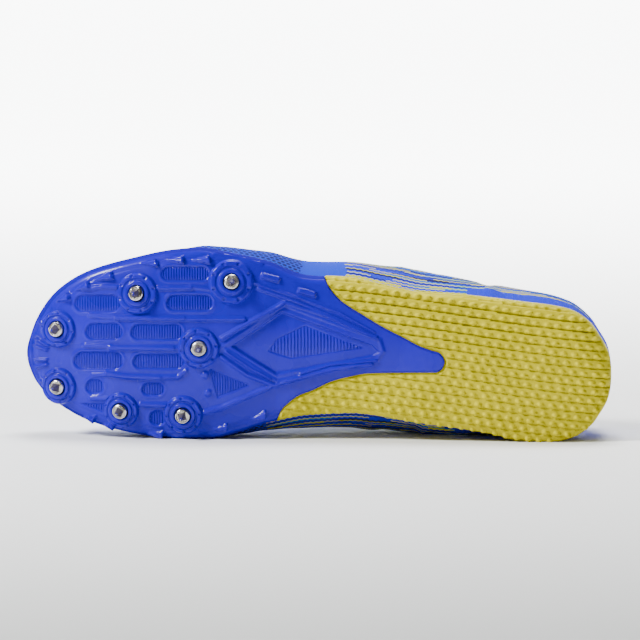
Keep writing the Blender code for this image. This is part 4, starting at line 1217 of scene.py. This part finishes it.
def boss_mesh(place, share):
    """Round boss of a spike: flange with small notches, inner step and painted shade on the seat round the spike.
    """
    rows = ((1.10, -.0010), (1.07, .0002), (1.04, .0005), (1.01, .0012), (.985, .0017), (.95, .00195),
            (.93, .0020), (.86, .0020), (.80, .0020), (.775, .00195), (.76, .0017), (.735, .0016), (.68, .0016),
            (.655, .0017), (.64, .0022), (.625, .0027), (.60, .0029), (.53, .0030), (.45, .0030), (.425, .0028),
            (.415, .0018), (.0001, .0016))
    turn = np.linspace(0, 2 * math.pi, 97)
    notch = ease((np.cos(turn * NOTCHES + 0.4) - 0.84) / 0.06)
    grid = []
    for radius, height in rows:
        drop = notch * NOTCH_DEPTH * (.80 < radius < .96)
        wide = BOSS_RADIUS * (radius if radius < .5 else .5 + (radius - .5) * (2 * share - 1))
        grid.append(np.stack([wide * np.cos(turn), wide * np.sin(turn), height - drop], -1))
    bm = plan_mesh(np.array(grid), weld=1e-6)
    seat = spike_seat(place)
    bmesh.ops.transform(bm, matrix=seat, verts=bm.verts)
    # Faces of the seat near the spike take the painted shade
    for face in outwards(bm).faces:
        face.material_index = int((face.calc_center_median() - seat.translation).length < PAINTED_SEAT_SHADE_RADIUS)
    return bm


def build_spikes(settings):
    """Seven steel spikes: a collar with a bright rim, and a rounded square pin in painted shade with a painted
    highlight at its tip.
    """
    foot = BOSS_HEIGHT - SOCKET_DEPTH + GAP
    top = foot + SPIKE_LENGTH
    rows = ((.0001, foot), (1.22, foot), (1.28, foot + .0002), (1.28, BOSS_HEIGHT + .0002),
            (1.22, BOSS_HEIGHT + .0006), (1.10, BOSS_HEIGHT + .0008), (1.02, BOSS_HEIGHT + .0006),
            (.86, BOSS_HEIGHT + .0004), (.80, BOSS_HEIGHT + .0010), (.26, top - .0012), (.10, top - .0001),
            (.0001, top))
    turn = np.linspace(0, 2 * math.pi, 49)
    square = (np.abs(np.cos(turn)) ** 12 + np.abs(np.sin(turn)) ** 12) ** (-1 / 12)
    made = []
    for number, place in enumerate(SPIKES, 1):
        grid = []
        for radius, height in rows:
            wide = radius * (square * 0.86 if radius <= .80 else 1) * SPIKE_RADIUS
            grid.append(np.stack([wide * np.cos(turn), wide * np.sin(turn), np.full(turn.shape, height)], -1))
        bm = plan_mesh(np.array(grid), weld=1e-6)
        # The pin's facets take the painted shade; the collar keeps the steel, and the tip keeps it as a painted
        # highlight
        for face in bm.faces:
            face.material_index = int(BOSS_HEIGHT + .0009 < face.calc_center_median().z < top - .0008)
        bmesh.ops.transform(bm, matrix=spike_seat(place) @ Matrix.Rotation(0.6 + 0.29 * (number % 3), 4, "Z"),
                            verts=bm.verts)
        piece = new_piece(f"spike_{number}", outwards(bm), [material("steel"), material("pin")])
        piece.data.set_sharp_from_angle(angle=math.radians(40))
        made.append(give(piece, "steel", f"spike_{number}"))
    return made


def build_midsole(settings):
    """Foam midsole: its bumpy underside behind the plate and its plain side."""
    heel_turn = np.linspace(0.0, FOAM_HEEL_TURN, FOAM_HEEL_STATIONS)[:-1]
    xs = np.concatenate([FOAM_END * (1 - np.cos(heel_turn)),
                         np.linspace(FOAM_END * (1 - math.cos(FOAM_HEEL_TURN)), FOAM_END, FOAM_STATIONS)])
    xs = np.maximum(xs, 1e-6)
    along = xs / LENGTH
    outer, inner = (SOLE_CURVES[side](along) * BALL_WIDTH for side in ("lateral", "medial"))
    x, y, distance = underside(xs, outer, inner, FOAM_COLUMNS)
    face = np.stack([x, y, ground(x, y) + edge_lift(distance)], -1)
    normals = downward_normals(face)
    plate_outer, plate_inner = plate_edge("lateral", x), plate_edge("medial", x)
    in_plate = np.minimum(plate_outer - y, y - plate_inner)
    tip_x = TAIL_TIP_X + TAIL_TIP_RADIUS
    in_plate = np.where(x < tip_x, TAIL_TIP_RADIUS - np.hypot(x - tip_x, y - TAIL_TIP_Y), in_plate)
    bumps = foam_relief(x, y) * ease((-in_plate - 0.0006) / 0.0010) * ease(distance / 0.0012)
    crevice = -0.0007 * ease((0.0012 - np.abs(in_plate + 0.0002)) / 0.0008)
    sunk = -0.0022 * ease((in_plate + 0.0001) / 0.0004)
    relief = bumps * settings.foam_bumps + np.minimum(crevice, sunk)
    inside_rim = ease((in_plate + 0.0002) / 0.0005) * ease((0.004 - distance) / 0.003)
    face += normals * (relief - inside_rim * 0.0004)[..., None]
    parts = [grid_mesh(flatten_on_floor(face), face[..., :2] * 100, flip=True)]

    stations = (1 - np.cos(np.linspace(0, math.pi, FOAM_SIDE_STATIONS))) / 2
    corner = SOLE_EDGE_RADIUS * 0.35
    for side in ("lateral", "medial"):
        covered = ease((stations - TAIL_ENDS[side] + 0.002) / 0.004)
        out = sole_outward(side, stations)
        base = sole_edge(side, stations)
        rows = []
        for share, inset in ((0, 0), (.04, -.00003), (.10, -.00008), (.20, -.00016), (.35, -.00025),
                             (.45, -.00028), (.6, -.00015), (.75, .0001), (.88, .0003), (.95, .0004),
                             (1, corner * .4), (1, .0020), (1, .0050), (1, .0110)):
            spot = base - out * (inset + covered * FOAM_PLATE_STEP)[:, None]
            low = ground(spot[:, 0], spot[:, 1]) + SOLE_EDGE_RADIUS
            high = midsole_top(spot[:, 0], spot[:, 1])
            rim = ground(spot[:, 0], spot[:, 1]) + PLATE_RIM + GAP
            free_rise = low + (high - low) * share
            rim_rise = np.maximum(rim + (high - rim) * max(share - .02, 0), rim)
            rows.append(np.concatenate([spot, (free_rise + (rim_rise - free_rise) * covered)[:, None]], 1))
        parts.append(plan_mesh(flatten_on_floor(np.stack(rows, 1)), flip=side == "medial"))
    whole = joined(parts)
    bmesh.ops.remove_doubles(whole, verts=whole.verts, dist=2e-5)
    piece = new_piece("midsole", whole, [material("foam")])
    return give(piece, "foam", "midsole")


def thickened(piece, name, thickness):
    """Wall that grows inwards from a piece's outer face."""
    wall = piece.modifiers.new(name, "SOLIDIFY")
    wall.thickness = thickness
    wall.offset = -1
    return wall


def crease_depth(side, along, height):
    """How deep the listed creases are at stations and height shares."""
    depth = np.zeros(along.shape)
    for on_side, cx, ch, turn, long, wide, deep in CREASES:
        if on_side != side:
            continue
        angle = math.radians(turn)
        run, aside = turned((along - cx) * LENGTH, (height - ch) * CREASE_FIELD_HEIGHT, angle)
        aside = aside + run * run * CREASE_BEND
        trough = np.exp(-(aside / wide) ** 2) - 0.55 * np.exp(-((np.abs(aside) - wide * 1.9) / wide) ** 2)
        depth += deep * trough * np.exp(-(run / long) ** 2)
    return depth


def build_upper(settings):
    """Knit upper: one wall, open at the collar and the throat, with punched eyelets and creases."""
    stations = np.concatenate([(1 - np.cos(np.linspace(0, math.pi, 150))) / 2, np.linspace(.02, .98, 130)])
    stations = np.unique(np.round(stations, 5))
    keep = np.concatenate([[True], np.diff(stations) > 0.0012])
    keep[:6] = keep[-6:] = True
    stations = stations[keep]
    steps = 62
    share = np.linspace(0, 1, steps + 1)
    parts = []
    for number, side in enumerate(("lateral", "medial")):
        points = upper_rows(side, stations, steps)
        normals = grid_normals(points)
        centre = points.mean(1, keepdims=True) * np.array((1, 0.4, 1))
        normals *= np.sign(((points - centre) * normals).sum(-1, keepdims=True) + 1e-9)
        depth = crease_depth(side, *np.broadcast_arrays(stations[:, None], share[None, :]))
        fade = np.minimum(ease(share / .08), ease((1 - share) / .06))[None, :]
        points = flatten_on_floor(points - normals * (depth * fade * settings.creases)[..., None])
        gone = np.concatenate([np.zeros((len(stations), 1)),
                               np.cumsum(np.linalg.norm(np.diff(points, axis=1), axis=2), 1)], 1)
        uvs = np.stack([np.broadcast_to(stations[:, None] * LENGTH * 100, gone.shape), gone * 100], -1)
        bm = grid_mesh(points, uvs, weld=0, flip=side == "medial")
        holes = []
        for along in eyelet_rows():
            eyelet, _ = surface_point(side, along, EYELET_INSET)
            holes += [face for face in bm.faces
                      if (face.calc_center_median() - eyelet).length < EYELET_HOLE_RADIUS]
        bmesh.ops.delete(bm, geom=holes, context="FACES")
        for face in bm.faces:
            face.material_index = number
        parts.append(bm)
    whole = joined(parts)
    bmesh.ops.remove_doubles(whole, verts=whole.verts, dist=4e-5)
    bmesh.ops.dissolve_degenerate(whole, edges=whole.edges, dist=1e-7)
    piece = new_piece("upper", whole, [material("knit_outer"), material("knit_inner"), material("lining"),
                                       material("lining")])
    wall = thickened(piece, "wall", UPPER_WALL)
    wall.use_even_offset = False
    wall.material_offset = 2
    return give(piece, "knit", "upper")


def opening_run(count):
    """Closed run of points along the collar's and the throat's edge."""
    stations = np.linspace(0.0, .664, 140)
    lateral = upper_rows("lateral", stations, 30)[:, -1]
    medial = upper_rows("medial", stations, 30)[:, -1]
    run = np.concatenate([lateral, medial[::-1][1:-1], lateral[:1]])
    return evenly(run, count, endpoint=False)


def build_edging(settings):
    """Bound edge of the collar and the throat, and the rings of the eyelets."""
    run = opening_run(420)
    upwards = np.broadcast_to(np.array((0.0, 0.0, 1.0)), run.shape)
    parts = [grid_mesh(*sweep(run + np.array((0, 0, -BINDING_DROP)), upwards, *BINDING_HALF, 14, closed=True))]
    turn = np.linspace(0, 2 * math.pi, 33)[:-1]
    for along in eyelet_rows():
        for side in ("lateral", "medial"):
            point, out = surface_point(side, along, EYELET_INSET)
            stand = out.to_track_quat("Z", "Y").to_matrix()
            ring = np.array([tuple(point + stand @ Vector((math.cos(a) * RING_RADIUS, math.sin(a) * RING_RADIUS,
                                                           .0001))) for a in turn])
            flat = np.broadcast_to(np.array(out), ring.shape)
            parts.append(grid_mesh(*sweep(ring, flat, *RING_HALF, 8, closed=True)))
    piece = new_piece("upper_edging", outwards(joined(parts)), [material("binding")])
    return give(piece, "knit", "upper")


def build_tongue(settings):
    """Padded mesh tongue under the throat."""
    rows = [tongue_row(along) for along in (.650, .622, .590, .555, .520, .485, .450, .420)]
    last, before = rows[-1], rows[-2]
    run = (last[6] - before[6]).normalized()
    for step, narrow in ((0.45, .97), (0.85, .90), (1.0, .78)):
        centre = last[6]
        rows.append([centre + (point - centre) * Vector((1, narrow, narrow)) + run * TONGUE_RISE * step
                     + Vector((0, 0, 0.001 * step)) for point in last])
    rough = np.array([[tuple(point) for point in row] for row in rows])
    across = np.array([smooth_run(row, 61) for row in rough])
    grid = np.stack([smooth_run(across[:, k], 120) for k in range(61)], 1)
    uvs = np.stack(np.broadcast_arrays(np.linspace(0, 9, 120)[:, None], np.linspace(0, 6, 61)[None, :]), -1)
    piece = new_piece("tongue", facing(grid_mesh(grid, uvs), 1), [material("tongue_mesh")])
    thickened(piece, "padding", TONGUE_THICKNESS)
    return give(piece, "lining", "tongue")


def build_insole(settings):
    """Fabric-covered footbed sheet."""
    stations = (1 - np.cos(np.linspace(0.12, math.pi - 0.12, 120))) / 2
    inset = UPPER_INSET + UPPER_WALL + INSOLE_CLEARANCE
    inset += UPPER_TUCK * np.clip((stations - INSOLE_TUCK_START) / INSOLE_TUCK_FADE, 0, 1)
    sides = {side: sole_edge(side, stations) - sole_outward(side, stations) * inset[:, None]
             for side in ("lateral", "medial")}
    share = np.linspace(0, 1, 40)[None, :, None]
    plan = sides["lateral"][:, None] * (1 - share) + sides["medial"][:, None] * share
    z = midsole_top(plan[..., 0], plan[..., 1]) + GAP * 1.5 + INSOLE_THICKNESS
    bm = facing(outwards(plan_mesh(np.concatenate([plan, z[..., None]], -1))), 1)
    piece = new_piece("insole", bm, [material("insole")])
    thickened(piece, "sheet", INSOLE_THICKNESS)
    return give(piece, "insole", "insole")


def build_laces(settings):
    """Flat woven lace: a bar at the front and crossings, through the eyelets."""
    rows = eyelet_rows()
    pairs = [("lateral", rows[0], "medial", rows[0], 0)]
    for front, back in zip(rows, rows[1:]):
        pairs.append(("lateral", front, "medial", back, 1))
        pairs.append(("medial", front, "lateral", back, -1))
    parts = []
    for side_a, front, side_b, back, over in pairs:
        ends = []
        for side, along in ((side_a, front), (side_b, back)):
            point, turn = surface_point(side, along, EYELET_INSET)
            ends.append((point - turn * LACE_END_DEPTH, point + turn * LACE_END_RISE))
        edges = []
        for side, share in ((side_a, 0.22), (side_b, 0.78)):
            point, turn = surface_point(side, front + (back - front) * share, LACE_EDGE_INSET)
            edges.append(point + turn * LACE_EDGE_RISE)
        over_a, over_b = edges
        crest = (over_a + over_b) / 2
        crest.z = tongue_row((front + back) / 2)[6].z + LACE_CREST_RISE + LACE_CROSSING * over
        run = smooth_run((ends[0][0], ends[0][1], over_a, crest, over_b, ends[1][1], ends[1][0]), 90)
        thin = np.cross(np.gradient(run, axis=0), np.broadcast_to(np.array((1.0, 0.0, 0.0)), run.shape))
        thin *= np.sign(thin[:, 2:] + 1e-9)
        parts.append(grid_mesh(*sweep(run, thin, settings.lace_width / 2, LACE_HALF_THICK, 12)))
    piece = new_piece("laces", outwards(joined(parts)), [material("lace_cord")])
    return give(piece, "lace", "laces")


def area_light(name, place, target, size, power):
    """Soft square lamp that looks at a point."""
    lamp = bpy.data.lights.new(name, "AREA")
    lamp.size = size
    lamp.energy = power
    item = bpy.data.objects.new(name, lamp)
    item.location = place
    item.rotation_euler = (Vector(target) - Vector(place)).to_track_quat("-Z", "Y").to_euler()
    bpy.context.scene.collection.objects.link(item)


def build_stage(settings):
    """Floor that sweeps up to the backdrop, soft lamps and the camera."""
    profile = [(y, 0) for y in (-6, -2.0, -0.5, 0.6, 1.5, 3.0, SWEEP_START)]
    profile += [(SWEEP_START + SWEEP_RADIUS * math.sin(turn), SWEEP_RADIUS - SWEEP_RADIUS * math.cos(turn))
                for turn in np.linspace(0.08, math.pi / 2, 22)]
    profile += [(SWEEP_START + SWEEP_RADIUS, BACKDROP_TOP)]
    wide = np.linspace(-BACKDROP_HALF_WIDTH, BACKDROP_HALF_WIDTH, BACKDROP_COLUMNS)
    grid = np.array([[(x, y, z) for x in wide] for y, z in profile])
    bm = outwards(grid_mesh(grid, weld=0))
    mesh = bpy.data.meshes.new("backdrop")
    bm.to_mesh(mesh)
    bm.free()
    mesh.materials.append(material("paper"))
    mesh.shade_smooth()
    floor = bpy.data.objects.new("backdrop", mesh)
    bpy.context.scene.collection.objects.link(floor)

    area_light("key_lamp", (-1.15, -0.70, 1.15), (0, 0, 0.05), 0.40, 60)
    area_light("sheen_lamp", (-0.95, -1.5, 0.6), (-0.05, 0, 0.05), 0.5, 2)
    area_light("top_lamp", (0.1, 0.40, 1.5), (0, -0.05, 0.05), 0.7, 38)
    area_light("backdrop_lamp", (0, 1.4, 1.9), (0, 2.8, 0), 1.8, 20)
    world = bpy.data.worlds.new("soft_room")
    world.use_nodes = True
    colour, strength = world.node_tree.nodes["Background"].inputs[:2]
    colour.default_value = (0.92, 0.94, 1, 1)
    strength.default_value = 0.06
    bpy.context.scene.world = world

    turn = SHOE.to_3x3()
    tilt = settings.camera_tilt
    back = (turn @ Vector((0, math.sin(tilt), -math.cos(tilt)))).normalized()
    above = (turn @ Vector((0, math.cos(tilt), math.sin(tilt)))).normalized()
    target = SHOE @ Vector((0.1393, 0.0119, 0.0))
    camera = bpy.data.cameras.new("photo_camera")
    camera.lens = SENSOR_MM * settings.camera_distance / (PX * PHOTO_WIDTH)
    camera.clip_start = 0.05
    item = bpy.data.objects.new("photo_camera", camera)
    item.matrix_world = Matrix.Translation(target + back * settings.camera_distance) @ Matrix(
        (above.cross(back), above, back)).transposed().to_4x4()
    bpy.context.scene.collection.objects.link(item)
    bpy.context.scene.camera = item
    return floor


def colour_setting(name, description, *colour):
    """Colour that a user can change, with its default from the 0 to 255 scale."""
    return bpy.props.FloatVectorProperty(name=name, description=description, subtype="COLOR", size=3, min=0.0,
                                         max=1.0, default=linear(*colour)[:3])


def strength_setting(name, description):
    return bpy.props.FloatProperty(name=name, description=description, default=1.0, min=0.0, max=2.0,
                                   subtype="FACTOR")


def length_setting(name, description, default, least, most):
    return bpy.props.FloatProperty(name=name, description=description, default=default, min=least, max=most,
                                   unit="LENGTH", subtype="DISTANCE")


class ShoeSettings(bpy.types.PropertyGroup):
    """Sizes and colours of the shoe's looks."""
    plate_colour: colour_setting("Plate colour", "Plastic of the spike plate", 28, 0, 166)
    foam_colour: colour_setting("Foam colour", "Foam of the midsole", 190, 178, 0)
    knit_colour: colour_setting("Knit colour", "Main yarn of the upper", 12, 30, 200)
    block_colour: colour_setting("Block colour", "Light blocks of the upper", 10, 50, 198)
    spot_colour: colour_setting("Spot colour", "Dark spots of the mesh", 16, 14, 70)
    lace_colour: colour_setting("Lace colour", "Flat lace", 214, 208, 40)
    lace_width: length_setting("Lace width", "Width of the flat lace", 0.0034, 0.001, 0.006)
    relief: strength_setting("Plate relief", "Strength of the plate's moulded relief")
    foam_bumps: strength_setting("Foam bumps", "Strength of the bumps under the foam")
    creases: strength_setting("Creases", "Depth of the creases of the knit upper")
    camera_distance: length_setting("Camera distance", "From the camera to the sole", 4.0, 0.6, 6.0)
    camera_tilt: bpy.props.FloatProperty(name="Camera tilt", default=math.radians(6), unit="ROTATION",
                                         description="How far the outer side turns to the camera",
                                         subtype="ANGLE")


def run_builder(builder, context):
    """Call a piece's builder and report a failure as an error."""
    made = builder(context.scene.shoe_settings)
    if not made:
        raise RuntimeError(f"{builder.__name__} made nothing")
    return {"FINISHED"}


class SHOE_OT_plate(bpy.types.Operator):
    """Make the spike plate"""
    bl_idname = "shoe.plate"
    bl_label = "Spike plate"

    def execute(self, context):
        return run_builder(build_plate, context)


class SHOE_OT_spikes(bpy.types.Operator):
    """Make the seven spikes"""
    bl_idname = "shoe.spikes"
    bl_label = "Spikes"

    def execute(self, context):
        return run_builder(build_spikes, context)


class SHOE_OT_midsole(bpy.types.Operator):
    """Make the foam midsole"""
    bl_idname = "shoe.midsole"
    bl_label = "Midsole"

    def execute(self, context):
        return run_builder(build_midsole, context)


class SHOE_OT_upper(bpy.types.Operator):
    """Make the knit upper"""
    bl_idname = "shoe.upper"
    bl_label = "Upper"

    def execute(self, context):
        return run_builder(build_upper, context)


class SHOE_OT_edging(bpy.types.Operator):
    """Make the bound edge and the eyelet rings"""
    bl_idname = "shoe.edging"
    bl_label = "Edging"

    def execute(self, context):
        return run_builder(build_edging, context)


class SHOE_OT_tongue(bpy.types.Operator):
    """Make the tongue"""
    bl_idname = "shoe.tongue"
    bl_label = "Tongue"

    def execute(self, context):
        return run_builder(build_tongue, context)


class SHOE_OT_insole(bpy.types.Operator):
    """Make the insole"""
    bl_idname = "shoe.insole"
    bl_label = "Insole"

    def execute(self, context):
        return run_builder(build_insole, context)


class SHOE_OT_laces(bpy.types.Operator):
    """Make the lace"""
    bl_idname = "shoe.laces"
    bl_label = "Laces"

    def execute(self, context):
        return run_builder(build_laces, context)


class SHOE_OT_stage(bpy.types.Operator):
    """Make the backdrop, the lamps and the camera"""
    bl_idname = "shoe.stage"
    bl_label = "Stage"

    def execute(self, context):
        return run_builder(build_stage, context)


class SHOE_PT_panel(bpy.types.Panel):
    """Buttons and settings of the shoe"""
    bl_label = "Track spike shoe"
    bl_space_type = "VIEW_3D"
    bl_region_type = "UI"
    bl_category = "Shoe"

    def draw(self, context):
        for name in ShoeSettings.__annotations__:
            self.layout.prop(context.scene.shoe_settings, name)
        for operator in OPERATORS:
            self.layout.operator(operator.bl_idname)


OPERATORS = (SHOE_OT_plate, SHOE_OT_spikes, SHOE_OT_midsole, SHOE_OT_upper, SHOE_OT_edging, SHOE_OT_tongue,
             SHOE_OT_insole, SHOE_OT_laces, SHOE_OT_stage)
CLASSES = (ShoeSettings, *OPERATORS, SHOE_PT_panel)


def register():
    for item in CLASSES:
        bpy.utils.register_class(item)
    bpy.types.Scene.shoe_settings = bpy.props.PointerProperty(type=ShoeSettings)


def unregister():
    del bpy.types.Scene.shoe_settings
    for item in reversed(CLASSES):
        bpy.utils.unregister_class(item)


def main():
    register()
    bpy.ops.shoe.plate()
    bpy.ops.shoe.spikes()
    bpy.ops.shoe.midsole()
    bpy.ops.shoe.upper()
    bpy.ops.shoe.edging()
    bpy.ops.shoe.tongue()
    bpy.ops.shoe.insole()
    bpy.ops.shoe.laces()
    bpy.ops.shoe.stage()


if __name__ == "__main__":
    main()
